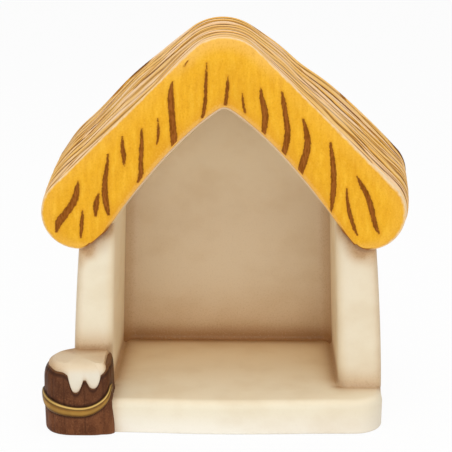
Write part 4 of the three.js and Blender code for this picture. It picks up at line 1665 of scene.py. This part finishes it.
@dataclass
class BucketForm:
    """The bucket's sizes and its surface, which the snow and the bail follow."""

    form: HutForm
    inboard: float = 4.2
    inset: float = 11.9
    radius: float = 17.7
    spread: float = 2.2
    front_fullness: float = 5.0
    back_fullness: float = 3.4
    open_fullness: float = 2.6
    top: float = 38.4
    shoulder: float = 12.0
    open_dome: float = 3.0
    luted_dome: float = 7.0
    free_to: float = 0.62
    luted_from: float = 0.9
    foot_round: float = 2.4
    foot_taper: float = 0.2
    snow_seat: float = 35.0
    snow_edge: float = 34.4
    snow_top: float = 37.4
    snow_runs: tuple[SnowRun, ...] = (
        SnowRun(13, 26, 27, 3.6, 4),
        SnowRun(0.5, 10, 13.2, 10.1, 3),
        SnowRun(28, 11, 9, 7.9, 2.8),
    )
    right_rise: SnowRise = SnowRise(1.8, 40, 62, 110, 145)
    left_rise: SnowRise = SnowRise(0.9, -150, -115, -55, -30)
    rim_width: float = 3.0
    bail_low: float = 13.6
    bail_middle: float = 4.0
    bail_left: BailRise = BailRise(7.2, 84, 1.6)
    bail_right: BailRise = BailRise(11, 54, 2.5)
    bail_end: float = 70.0
    bail_widths: Pair = (5.4, 9.6)

    @property
    def centre(self) -> Pair:
        """X and Y of the bucket's middle."""
        return self.inboard - self.form.slab_reach[0], self.inset

    def plan(self, angle: Numbers) -> Numbers:
        """How full the bucket is at an angle from the front, |sin|^p + |cos|^p = 1.

        It is rounder at its left, where it stands free, and squarer where it runs into the hut.

        Args:
            angle: angles round the bucket, to the right.

        Returns:
            The plan's radius as a share of the bucket's.
        """
        right, front = np.sin(angle), np.cos(angle)
        power = np.where(front > 0, self.open_fullness, 2.0)
        squarer = np.where(front > 0, self.front_fullness, self.back_fullness)
        power = np.where(right > 0, squarer, power)
        return (np.abs(right) ** power + np.abs(front) ** power) ** (-1 / power)

    def radius_at(self, z: Numbers, angle: Numbers) -> Numbers:
        """The radius at a height.

        The domed shoulder is (1 - up^p)^(1/p), blunter towards the hut. Below it the bucket tapers
        to a rounded foot where it stands free, and spreads where it is luted to the hut.

        Args:
            z: heights.
            angle: angles round the bucket.

        Returns:
            The radii, before the plan's fullness.
        """
        clear = 1 - ease(self.free_to, self.luted_from, np.sin(angle))
        below = self.foot_round - np.clip(z, 0, self.foot_round)
        foot = self.foot_round - np.sqrt(self.foot_round**2 - below**2)
        shoulder_start = self.top - self.shoulder
        down = 1 - ease(0, shoulder_start, z)
        width = self.radius + blend(self.spread * down, -foot - self.foot_taper * down, clear)
        up = np.clip((z - shoulder_start) / self.shoulder, 0, 1)
        dome = blend(self.luted_dome, self.open_dome, clear)
        return width * (1 - up**dome) ** (1 / dome)

    def spot(self, angle: Numbers, z: Numbers, out: Numbers | float) -> Numbers:
        """Points on the bucket, or a distance out from it.

        Args:
            angle: angles round the bucket.
            z: heights.
            out: the distance.

        Returns:
            The points.
        """
        radius = (self.radius_at(z, angle) + out) * self.plan(angle)
        x, y = self.centre
        angle, z, radius = np.broadcast_arrays(angle, z, radius)
        return np.stack([x + radius * np.sin(angle), y - radius * np.cos(angle), z], -1)

    def snow_line(self, angle: Numbers) -> Numbers:
        """The height of the snow's lower edge: at each angle the deepest run, exp(-away^p).

        To the right and the left the edge rises.

        Args:
            angle: angles round the bucket.

        Returns:
            The heights.
        """
        degrees = self.degrees(angle)
        falls = []
        for run in self.snow_runs:
            away = np.abs(degrees - run.at) / np.where(degrees < run.at, run.left, run.right)
            falls.append(run.fall * np.exp(-(away**run.blunt)))
        edge = self.snow_edge - np.maximum.reduce(falls)
        for rise in (self.right_rise, self.left_rise):
            edge = edge + rise.height * rise.share(degrees)
        return edge

    def rim_bare(self, angle: Numbers) -> Numbers:
        """How far the snow is drawn in from the rim at its right, where the wood shows."""
        return self.rim_width * self.right_rise.share(self.degrees(angle))

    @staticmethod
    def degrees(angle: Numbers) -> Numbers:
        """Angles in degrees, from -180 to 180."""
        return np.degrees(np.arctan2(np.sin(angle), np.cos(angle)))

    def bail_shares(self, angle: Numbers) -> tuple[Numbers, Numbers]:
        """How far up its left and its right rise the bail is: shares of the way, to a power."""
        away, left, right = np.degrees(angle) - self.bail_middle, self.bail_left, self.bail_right
        up_left = np.clip(-away / (left.end + self.bail_middle), 0, 1) ** left.power
        return up_left, np.clip(away / (right.end - self.bail_middle), 0, 1) ** right.power

    def bail_line(self, angle: Numbers) -> Numbers:
        """The height of the bail's middle, which rises to either end."""
        left, right = self.bail_shares(angle)
        return self.bail_low + self.bail_left.height * left + self.bail_right.height * right

    def bail_width(self, angle: Numbers) -> Numbers:
        """The bail's width: it widens towards the left and narrows to a point at both ends."""
        reach = self.bail_left.end + self.bail_end
        along = 2 * (np.degrees(angle) + self.bail_left.end) / reach - 1
        size = np.sqrt(np.maximum(0.04, 1 - along**4))
        return size * blend(*self.bail_widths, self.bail_shares(angle)[0])

    def angle_of(self, points: Numbers) -> Numbers:
        """The angle round the bucket of points in space."""
        x, y = self.centre
        return np.arctan2(points[..., 0] - x, y - points[..., 1])


@dataclass
class Bucket:
    """The wooden bucket: staves with soft grooves, cut to fit the hut's corner."""

    bucket: BucketForm
    staves: int = 18
    columns: int = 288
    groove: float = 0.3

    def stave(self, angle: Numbers) -> Numbers:
        """The count of staves passed at an angle, with small differences in their widths."""
        turn = angle / (2 * np.pi) * self.staves
        return turn + 0.16 * np.sin(3 * angle + 1.0) + 0.09 * np.sin(7 * angle)

    def build(self, cutters: list[Piece]) -> Piece:
        """Builds the bucket and fits it to the hut.

        Args:
            cutters: the hut's corner.

        Returns:
            The piece.
        """
        form = self.bucket
        surface = Surface(form.form.shift)
        angle = np.linspace(0, 2 * np.pi, self.columns + 1)[:-1]
        turn = np.linspace(0, np.pi / 2, 9)
        shoulder = form.top - form.shoulder
        z = np.concatenate(
            [
                form.foot_round * (1 - np.cos(turn)),
                np.linspace(form.foot_round, shoulder, 30)[1:],
                np.linspace(shoulder, form.snow_seat, 14)[1:],
            ]
        )[:, None]
        under_snow = np.maximum(form.snow_line(angle) + 0.5, form.snow_seat)
        z = z + np.maximum(under_snow - form.snow_seat, 0) * ease(shoulder, form.snow_seat, z)
        between = np.abs(np.sin(np.pi * self.stave(angle)))
        dent = self.groove * (1 - between) ** 3 * ease(0, 3, z)
        wobble = 0.22 * Unevenness(31).at(angle * 3, z / 9) * ease(1, 5, z)
        poles = np.array([[*form.centre, 0], [*form.centre, form.snow_seat]])
        surface.tube(form.spot(angle, z, wobble - dent), poles)
        piece = surface.finish("wooden_bucket", 50)
        cut_away(piece, cutters)
        self.paint(piece.data)
        return piece

    def paint(self, mesh: Mesh) -> None:
        """Writes the bucket's painted values.

        Under "lines" come the staves' count, the distance below the snow and from the bail's edge,
        and under "place" the way round the bucket, the height and the hut's nearness.

        Args:
            mesh: the bucket's mesh.
        """
        form = self.bucket
        points = places(mesh, form.form.shift)
        angle, z = form.angle_of(points), points[:, 2]
        below_snow = form.snow_line(angle) - z
        from_bail = np.abs(z - form.bail_line(angle)) - form.bail_width(angle) / 2
        low, high = -np.radians(form.bail_left.end + 4), np.radians(form.bail_end + 4)
        from_bail = np.where((angle > low) & (angle < high), from_bail, 20)
        write_paint(mesh, "lines", np.stack([self.stave(angle), below_snow, from_bail], -1))
        by_hut = ease(0.6, 1.0, np.sin(angle))
        write_paint(mesh, "place", np.stack([angle * form.radius, z, by_hut], -1))
        smooth(mesh, 42)


@dataclass
class SnowCap:
    """Snow heaped in the bucket, run down over its rim in rounded drips."""

    bucket: BucketForm
    thickness: float = 1.1
    columns: int = 288

    def build(self, cutters: list[Piece]) -> Piece:
        """Builds the snow as a shell that lies on the bucket.

        From its middle on the bucket's flat top it runs out and down along the bucket to the
        snow's edge, round its lip, and back up over the dome to a pole. All of it is drawn in at
        the right, where the bucket's rim stays bare.

        Args:
            cutters: the hut's corner.

        Returns:
            The piece.
        """
        form = self.bucket
        surface = Surface(form.form.shift)
        angle = np.linspace(0, 2 * np.pi, self.columns + 1)[:-1]
        edge = form.snow_line(angle)
        seat = form.snow_seat
        rim = np.maximum(edge + 0.5, seat)
        under = [form.spot(angle, np.full(angle.shape, seat), -form.radius / 3)]
        under += [form.spot(angle, blend(rim, edge, share), 0.02) for share in (0, 0.5, 1)]
        lip = []
        for turn in np.radians([25, 50, 75, 90]):
            rise = self.thickness * (1 - np.cos(turn))
            lip.append(form.spot(angle, edge + rise, self.thickness * np.sin(turn)))
        start = edge + self.thickness
        over = []
        for share in np.linspace(0, 1, 26)[1:]:
            z = blend(start, form.snow_top, np.sin(np.pi / 2 * share))
            ring = form.spot(angle, z, self.thickness)
            ring[:, 2] += 0.5 * ease(form.snow_edge, form.snow_top, z) * share
            over.append(ring)
        stack = np.array(under + lip + over)
        heave = 0.25 * Unevenness(33).at(stack[..., 0] / 6, stack[..., 1] / 6)
        stack[..., 2] += heave * ease(form.snow_edge, form.snow_top, stack[..., 2])
        outward = np.stack([np.sin(angle), -np.cos(angle)], -1)
        stack[..., :2] -= form.rim_bare(angle)[:, None] * outward
        top = stack[-1, :, 2].mean()
        surface.tube(stack, np.array([[*form.centre, seat], [*form.centre, top]]))
        piece = surface.finish("snow_heap", 60)
        cut_away(piece, cutters)
        self.paint(piece.data)
        return piece

    def paint(self, mesh: Mesh) -> None:
        """Writes the snow's paint: brown along the wall and the outer rim, partly airbrush and
        partly painted shade, and clean on the drips.

        Args:
            mesh: the snow's mesh.
        """
        form = self.bucket
        points = places(mesh, form.form.shift)
        angle, z = form.angle_of(points), points[:, 2]
        from_wall = np.maximum(form.form.step_depth - points[:, 1], 0)
        from_edge = z - form.snow_line(angle)
        on_top = ease(form.snow_edge - 1, form.top - 1.5, z)
        side = ease(np.radians(20), np.radians(55), np.abs(angle - np.radians(12)))
        glaze = sprayed(
            (COLOURS.snow, 1 + 0 * z),
            (COLOURS.gold, 0.55 * on_top),
            (COLOURS.tan, 0.1 * on_top),
            # Brown where the snow meets the wall and along its lower edge, stronger towards the
            # sides: partly airbrush, partly painted shade
            (COLOURS.tan, 0.75 * bell(from_wall, 5)),
            (COLOURS.band, 0.6 * bell(from_wall, 2)),
            (COLOURS.tan, 0.85 * bell(from_edge, 2.2) * (0.4 + 0.6 * side)),
            (COLOURS.band, 0.35 * bell(from_edge, 1.2) * (0.3 + 0.7 * side)),
        )
        write_paint(mesh, "glaze", glaze)
        smooth(mesh, 60)


@dataclass
class Bail:
    """The bucket's bail, lowered on to its front: a rounded strap that narrows to its ends."""

    bucket: BucketForm
    thickness: float = 1.25
    around: int = 32
    along: int = 200

    def build(self, cutters: list[Piece]) -> Piece:
        """Builds the bail: a half-round section carried round the bucket.

        Args:
            cutters: the hut's corner.

        Returns:
            The piece.
        """
        form = self.bucket
        surface = Surface(form.form.shift)
        low, high = -form.bail_left.end, form.bail_end
        angle = np.radians(np.linspace(low, high, self.along))[:, None]
        width = form.bail_width(angle)
        size = np.minimum(1, width / form.bail_widths[0])
        turn = np.linspace(0, 2 * np.pi, self.around + 1)[:-1]
        across = np.sin(turn)
        z = form.bail_line(angle) + width / 2 * across
        out = form.form.seam / 2 + size * self.thickness * np.maximum(np.cos(turn), 0) ** 0.9
        rings = form.spot(angle, z, out)
        surface.tube(rings, rings[[0, -1]].mean(1))
        piece = surface.finish("bucket_bail", 60)
        cut_away(piece, cutters)
        self.paint(piece.data)
        return piece

    def paint(self, mesh: Mesh) -> None:
        """Writes the way along the bail, from -1 to 1, and across it likewise.

        Args:
            mesh: the bail's mesh.
        """
        form = self.bucket
        points = places(mesh, form.form.shift)
        angle = form.angle_of(points)
        low, high = -form.bail_left.end, form.bail_end
        along = (2 * np.degrees(angle) - low - high) / (high - low)
        across = (points[:, 2] - form.bail_line(angle)) / (form.bail_width(angle) / 2)
        write_paint(mesh, "band", np.stack([along, across, 0 * along], -1))
        smooth(mesh, 60)


# Finishes. All are underglaze colours and glazes fired on earthenware, so their index of refraction
# stays near glass, and they are satin. Sizes of grain are millimetres.


class CreamGlaze(Finish):
    """Satin cream glaze over slip-cast earthenware, airbrushed brown in its folds, a brown that is
    partly painted shade.

    The spray leaves soft-edged bands with a fine speckle, and the glaze a faint orange peel. The
    speckle of 0.9 mm is drawn coarser than real spray, so that it shows.
    """

    def dress(self, rough: float = 0.45) -> Material:
        """Paints the finish.

        Args:
            rough: the glaze's roughness.

        Returns:
            The material.
        """
        source = self.add("Attribute", {"attribute_name": "glaze"}, None, "Vector")
        # The darker the sprayed colour is, the more its speckle shows
        darker = Rise(self.read("glaze")[1], 0.7, 0.3, 0.08, 1)
        cloud, speckle = self.grain((22, 22, 16), 3), self.grain((0.9, 0.9, 0.9), 2)
        cloudy = Rise(cloud, 0.4, 0.75, 0, 0.22)
        colour = self.coat(source, COLOURS.sand, cloudy, way="MULTIPLY")
        colour = self.coat(colour, COLOURS.band, Rise(speckle, 0.5, 0.7, 0, 0.26), darker)
        colour = self.coat(colour, COLOURS.gold, Rise(speckle, 0.46, 0.3, 0, 0.1), darker)
        peel = self.grain((1.6, 1.6, 1.6), 1)
        rough = self.uneven(rough, cloud, 0.12)
        self.close(colour, rough, peel, 0.02, Specular_IOR_Level=0.3)
        return self.material


class StrawPaint(Finish):
    """Underglaze colours on the thatch: yellow and brown on the verge, wiped stain on the slopes.

    On the slopes a brown and ochre stain was wiped off the pale straw and stayed in the grooves.
    On the verge a yellow wash was brushed down the straw, and brown strokes into its cuts. Wiped
    colour is almost matt, so the highlights stay low.
    """

    lobe_line = "#8A4A16"

    def by_wall(self) -> Socket:
        """Where the verge passes in front of a side wall, low down on the lobes."""
        x, _, z = self.axes()
        across = self.add("Math", {"operation": "ABSOLUTE"}, {0: x})
        return self.share(Rise(across, 0.0755, 0.071), Rise(z, 0.112, 0.104, 0, 0.9))

    def along_straw(self, across: Socket, rates: Pair, detail: float, warp: float = 0) -> Socket:
        """A grain that is drawn out along the straw.

        Args:
            across: what it follows across the straw.
            rates: its grains for each millimetre along the straw, and for each unit across it.
            detail: how many finer grains are laid into it.
            warp: how far it is stirred.

        Returns:
            The grain.
        """
        lie = {0: self.share(self.read("place")[0], rates[0]), 1: self.share(across, rates[1])}
        lie = self.add("CombineXYZ", None, lie)
        inputs = {"Vector": lie, "Scale": 1.0, "Detail": detail, "Distortion": warp}
        return self.add("TexNoise", None, inputs)

    def from_line(self, from_groove: Socket, fibre: Socket, weight: float) -> Socket:
        """How far the brown line in a groove is, whose width wavers with the fibres."""
        width = {0: fibre, 1: 2.6 * weight, 2: -0.3 * weight}
        width = self.add("Math", {"operation": "MULTIPLY_ADD"}, width)
        return self.add("Math", {"operation": "SUBTRACT"}, {0: from_groove, 1: width})

    def slopes(self) -> Socket:
        """The slopes' colour: pale strands, ochre in the hollows, brown in the deepest grooves.

        Returns:
            The colour.
        """
        bundles, strands, strand_cut = self.read("straw")
        depth, bundle_cut = self.read("place")[1], self.read("brush")[2]
        bundle = self.from_groove(bundles, ThatchedRoof.bundle_pitch)
        strand = self.from_groove(strands, ThatchedRoof.strand_pitch)
        # Fibres some 1 mm wide and 40 mm long, drawn coarser than real scratches so that they show
        fibre = self.along_straw(depth, (0.025, 0.9), 3, 0.4)
        # Each strand took up the stain differently, so this runs with the strands
        patch = self.along_straw(strands, (0.022, 0.8), 2)
        colour = self.coat("#FFDDB6", "#F8C97A", Rise(patch, 0.38, 0.56))
        colour = self.coat(colour, "#EDB04A", Rise(fibre, 0.48, 0.68, 0, 0.7))
        hollows = {
            0: self.share(Rise(bundle, 4.2, 1.2), bundle_cut),
            1: self.share(Rise(strand, 1.9, 0.6), strand_cut),
        }
        hollows = self.add("Math", {"operation": "MAXIMUM"}, hollows)
        colour = self.coat(colour, "#E09C2A", hollows, Rise(patch, 0.3, 0.6, 0.5, 1), 0.95)
        broken = self.share(Rise(fibre, 0.3, 0.5, 0.35, 1))
        fine = Rise(self.from_line(strand, fibre, 0.6), 0.5, 0.05)
        colour = self.coat(colour, "#93571B", fine, strand_cut, 0.8, broken)
        deep = Rise(self.from_line(bundle, fibre, 1), 0.9, 0.1)
        return self.coat(colour, "#6E3F14", deep, bundle_cut, broken)

    def verge(self) -> Socket:
        """The verge's colour: yellow wash, deeper at the rims, and the brown strokes.

        Returns:
            The colour.
        """
        rim = self.read("place")[2]
        stroke, from_low, _ = self.read("brush")
        _, _, height = self.axes()
        streak, cloud = self.grain((2.4, 6, 11), 3), self.grain((11, 11, 13), 2)
        speckle, bristle = self.grain((0.8, 0.8, 0.9), 2), self.grain((0.5, 1.4, 2.6), 3)
        # The yellow wash, streaky down the straw and clouded
        stops = [(0.3, "#E3A325"), (0.5, "#EAAC28"), (0.7, "#F1B835")]
        colour = add_node(self.tree, "ValToRGB", None, {0: streak}, stops).outputs[0]
        colour = self.coat(colour, "#DD9E22", Rise(cloud, 0.45, 0.7, 0, 0.4))
        # Paler at the outer rim, round the ridge and the lobes' ends
        ends = {
            0: self.share(Rise(height, 0.18, 0.195, 0.15, 0.7)),
            1: self.share(Rise(height, 0.104, 0.094, 0, 0.4)),
        }
        ends = self.add("Math", {"operation": "ADD"}, ends)
        from_rim = self.uneven(rim, speckle, 2.4)
        colour = self.coat(colour, "#F4BF60", ends, Rise(from_rim, 10, 2))
        # Deeper towards the lower edge, with a paler thread along it
        above_low = self.uneven(from_low, speckle, 2.4)
        colour = self.coat(colour, "#DE9A2C", Rise(above_low, 8, 2, 0, 0.45))
        colour = self.coat(colour, "#E6B46A", Rise(above_low, 2.6, 0.4, 0, 0.45))
        # The wash's speckle of 0.8 mm, drawn coarser than the clay's so that it shows
        colour = self.coat(colour, "#CF8B1B", Rise(speckle, 0.52, 0.72, 0, 0.32))
        colour = self.coat(colour, "#F7C552", Rise(speckle, 0.46, 0.3, 0, 0.22))
        # The strokes stain the wash beside them and have ragged, darker edges and bristle marks
        colour = self.coat(colour, "#CF8A20", Rise(stroke, -1.7, 0, 0, 0.4))
        colour = self.coat(colour, self.lobe_line, self.by_wall(), Rise(from_low, 1.6, 0.6))
        inside = self.uneven(stroke, self.grain((0.9, 0.9, 1.3), 2), 1.3)
        brown = self.coat("#7C420D", "#9C5B22", Rise(bristle, 0.35, 0.65))
        brown = self.coat(brown, "#6A370A", Rise(inside, 0.75, 0.2, 0, 0.5))
        return self.coat(colour, brown, Rise(inside, -0.3, 0.25, 0, 0.97))

    def dress(self) -> Material:
        """Paints the finish: the verge's colour up to its rim, a pale line, then the slopes.

        Returns:
            The material.
        """
        rim = self.read("place")[2]
        line = self.uneven(rim, self.grain((2.2, 2.2, 2.2), 3), 1.5)
        past_line = Rise(line, -4, -2.4)
        colour = self.coat(self.slopes(), "#F8DCB2", past_line)
        colour = self.coat(colour, self.verge(), Rise(line, -0.4, 1.4))
        below = self.share(past_line, Rise(rim, 1.9, 1.1))
        colour = self.coat(colour, self.lobe_line, self.by_wall(), below)
        self.close(colour, 0.55, self.grain((0.8, 0.8, 1.6), 2), 0.05, Specular_IOR_Level=0.05)
        return self.material


class BucketPaint(Finish):
    """Dark red-brown underglaze wiped over the staves, with a fine speckle where it broke.

    It is darkest between the staves, where the wiping cloth didn't reach, and darkened by painted
    shade below the snow and beside the bail. It is paler at the foot. The grain of 1.2 by 7 mm runs
    up the wood.
    """

    stave_width: float = 6.4

    def dress(self) -> Material:
        """Paints the finish.

        Returns:
            The material.
        """
        stave, below_snow, from_bail = self.read("lines")
        _, z, by_hut = self.read("place")
        grain, cloud = self.grain((1.2, 1.2, 7), 4, 0.3), self.grain((7, 7, 9), 2)
        speckle = self.grain((0.8, 0.8, 0.9), 2)
        # The wiped wood
        colour = self.coat("#5C331B", "#744528", Rise(cloud, 0.35, 0.65))
        colour = self.coat(colour, "#804E2C", Rise(grain, 0.45, 0.7, 0, 0.4))
        colour = self.coat(colour, "#936342", Rise(speckle, 0.54, 0.7, 0, 0.4))
        colour = self.coat(colour, "#432310", Rise(speckle, 0.44, 0.3, 0, 0.5))
        # Redder by the hut, darker above, paler low down by the hut
        colour = self.coat(colour, "#552A10", by_hut, 0.6)
        colour = self.coat(colour, "#43230F", Rise(z, 17, 24, 0, 0.5))
        colour = self.coat(colour, "#925C38", by_hut, Rise(z, 14, 3, 0, 0.7))
        # Dark between the staves, and painted shade below the snow and beside the bail
        gap, worn = self.from_groove(stave, self.stave_width), Rise(grain, 0.35, 0.6, 0.05, 0.4)
        colour = self.coat(colour, "#3A1D0D", Rise(gap, 0.7, 0.15), worn)
        colour = self.coat(colour, "#3A1D0C", Rise(below_snow, 3.2, 1.6, 0, 0.85))
        colour = self.coat(colour, "#7E5433", Rise(below_snow, 1.3, 0.3, 0, 0.7))
        colour = self.coat(colour, "#331808", Rise(from_bail, 2, 0.1, 0, 0.85))
        # Paler at the foot
        colour = self.coat(colour, "#8E5A36", Rise(z, 2.2, 0.4, 0, 0.5))
        rough = self.uneven(0.48, speckle, 0.2)
        self.close(colour, rough, grain, 0.1, Specular_IOR_Level=0.15)
        return self.material


class GoldLustre(Finish):
    """Fired-on gold lustre: a thin metal film over the glaze, darkened to olive at its ends by
    painted shade.

    The film is so thin that the glaze shows through, so it is half as metallic as metal. Across
    the strap, which is a plain half-round, come painted light and shade: a highlight on its face,
    shade in a groove, a highlight on its upper lip, and shade on its upper edge and its lower side.
    """

    def dress(self) -> Material:
        """Paints the finish.

        Returns:
            The material.
        """
        along, across, _ = self.read("band")
        cloud = self.grain((6, 6, 5), 3)
        end = self.add("Math", {"operation": "ABSOLUTE"}, {0: along})
        colour = self.coat("#84591A", "#9F7122", Rise(cloud, 0.35, 0.65))
        # Painted light and shade across the strap: a highlight on the face, shade in a groove, a
        # highlight on the upper lip
        face = (Rise(across, -0.75, -0.3), Rise(across, 0.3, 0))
        colour = self.coat(colour, "#CFA34C", *face, 0.35)
        groove = (Rise(across, 0.3, 0.45), Rise(across, 0.66, 0.54))
        colour = self.coat(colour, "#5E4210", *groove, 0.75)
        lip = (Rise(across, 0.58, 0.7), Rise(across, 0.92, 0.84))
        colour = self.coat(colour, "#D6B263", *lip, 0.8)
        # Painted shade towards the ends, on the lower side and along the upper edge
        colour = self.coat(colour, "#594314", Rise(end, 0.6, 0.98), 0.7)
        colour = self.coat(colour, "#5A3E12", Rise(across, -0.2, -0.85), 0.7)
        colour = self.coat(colour, "#4A3110", Rise(across, 0.86, 0.99))
        self.close(colour, self.uneven(0.415, cloud, 0.15), cloud, 0.02, Metallic=0.45)
        return self.material


# The studio


@dataclass
class Studio:
    """A white light tent: an even surround, soft boxes in front and above, a white table."""

    form: HutForm
    camera_place: Triple = (15.0, -700.0, 288.0)
    camera_down: float = 14.2
    camera_left: float = 1.15
    lens: float = 115.4
    sensor: float = 36.0
    surround: float = 0.53
    lamp_places: tuple[Triple, ...] = (
        (-0.55, -1.02, 0.25),
        (0.55, -1.02, 0.25),
        (0.0, -0.9, 0.95),
        (0.0, 0.01, 1.3),
    )
    lamp_watts: tuple[float, ...] = (2.45, 2.65, 3.1, 4.6)
    lamp_aim: Triple = (0.0, 0.0, 0.09)
    lamp_size: Pair = (0.9, 0.85)
    table_radius: float = 4.0
    table_gap: float = 0.05
    table_glow: float = 0.94

    def camera(self) -> None:
        """Sets the camera at the photograph's viewing angle."""
        data = bpy.data.cameras.new("camera")
        data.lens, data.sensor_width = self.lens, self.sensor
        data.clip_start = 0.05
        camera = bpy.data.objects.new("camera", data)
        camera.location = (np.array(self.camera_place) + self.form.shift) * METRE
        camera.rotation_euler = (np.radians(90 - self.camera_down), 0, np.radians(self.camera_left))
        bpy.context.scene.collection.objects.link(camera)
        bpy.context.scene.camera = camera

    def lamps(self) -> None:
        """Sets soft boxes left and right of the camera, above it and over the object."""
        for place, watts in zip(self.lamp_places, self.lamp_watts):
            data = bpy.data.lights.new("softbox", "AREA")
            data.shape, (data.size, data.size_y) = "RECTANGLE", self.lamp_size
            data.energy = watts
            lamp = bpy.data.objects.new("softbox", data)
            lamp.location = place
            heading = Vector(self.lamp_aim) - Vector(place)
            lamp.rotation_euler = heading.to_track_quat("-Z", "Y").to_euler()
            bpy.context.scene.collection.objects.link(lamp)

    def surroundings(self) -> None:
        """Sets an even surround that is white to the camera and lights at its own plain level."""
        world = bpy.data.worlds.new("tent")
        world.use_nodes = True
        tree = world.node_tree
        tree.nodes.clear()
        seen = add_node(tree, "LightPath").outputs["Is Camera Ray"]
        strength = add_node(tree, "MapRange", None, {0: seen, 3: self.surround, 4: 1.0})
        inputs = {"Color": (1, 1, 1, 1), "Strength": strength.outputs[0]}
        sky = add_node(tree, "Background", None, inputs)
        add_node(tree, "OutputWorld", None, {"Surface": sky.outputs[0]})
        bpy.context.scene.world = world

    def table(self) -> None:
        """Lays a white table that keeps a faint shadow of the object."""
        surface = Surface(np.zeros(3))
        angle = np.linspace(0, 2 * np.pi, 65)[:-1]
        radius = np.array([0.3, 1.0])[:, None] * self.table_radius / METRE
        height = np.full((2, len(angle)), -self.table_gap)
        rings = np.stack([radius * np.cos(angle), radius * np.sin(angle), height], -1)
        grid = surface.add(rings)
        surface.patch(grid, closed=True)
        pole = surface.add(np.array([[0, 0, -self.table_gap]]))
        surface.fan(grid[0], int(pole[0]))
        table = surface.finish("table", 30)
        # An open disc has no outside for the normals to find, so they are turned up here
        if table.data.polygons[0].normal.z < 0:
            table.data.flip_normals()
        material = bpy.data.materials.new("white_table")
        material.use_nodes = True
        tree = material.node_tree
        tree.nodes.clear()
        matt = add_node(tree, "BsdfDiffuse", None, {"Color": linear("#F4F4F4")})
        glow = add_node(tree, "Emission", None, {"Color": (1, 1, 1, 1), "Strength": 1.0})
        seen = add_node(tree, "LightPath").outputs["Is Camera Ray"]
        share = add_node(tree, "Math", {"operation": "MULTIPLY"}, {0: seen, 1: self.table_glow})
        inputs = dict(enumerate(node.outputs[0] for node in (share, matt, glow)))
        mixed = add_node(tree, "MixShader", None, inputs)
        add_node(tree, "OutputMaterial", None, {"Surface": mixed.outputs[0]})
        table.data.materials.append(material)

    def set_up(self) -> None:
        """Sets camera, lamps, surround, table and the plain view transform."""
        bpy.context.scene.view_settings.view_transform = "Standard"
        self.camera()
        self.lamps()
        self.surroundings()
        self.table()


def place_piece(piece: Piece, node: str, material: Material) -> None:
    """Dresses a piece, rides it on the one body and lets it stand for its node.

    Args:
        piece: the piece.
        node: the CAD node that it stands for.
        material: its finish.
    """
    piece.data.materials.clear()
    piece.data.materials.append(material)
    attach(piece, "root")
    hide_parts(node)
    LOG.info("%s stands for %s: %d faces", piece.name, node, len(piece.data.polygons))


def main() -> None:
    """Builds the stable's pieces in order and dresses them."""
    logging.basicConfig(level=logging.INFO, format="%(name)s: %(message)s")
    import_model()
    form = HutForm()
    Studio(form).set_up()
    thatch = Thatch(form)
    cream = CreamGlaze("satin_cream_glaze").dress()
    straw = StrawPaint("painted_straw_glaze").dress()
    snow = CreamGlaze("snow_glaze").dress(0.38)
    wood = BucketPaint("wiped_brown_glaze").dress()
    gold = GoldLustre("gold_lustre").dress()

    slab = FloorSlab(form)
    left = SideWall(form, thatch, side=Side.LEFT)
    place_piece(slab.build(), "base_slab", cream)
    place_piece(left.build(), "left_wall", cream)
    place_piece(SideWall(form, thatch, side=Side.RIGHT).build(), "right_wall", cream)
    place_piece(BackWall(form, thatch).build(), "back_wall", cream)
    place_piece(CeilingVault(form).build(), "ceiling_vault", cream)
    place_piece(ThatchedRoof(form, thatch).build(), "thatched_roof", straw)

    cutters = [slab.cutter(), left.cutter()]
    bucket = BucketForm(form)
    place_piece(Bucket(bucket).build(cutters), "bucket", wood)
    place_piece(SnowCap(bucket).build(cutters), "snow_cap", snow)
    place_piece(Bail(bucket).build(cutters), "bucket_handle", gold)
    for cutter in cutters:
        bpy.data.objects.remove(cutter)


if __name__ == "__main__":
    main()
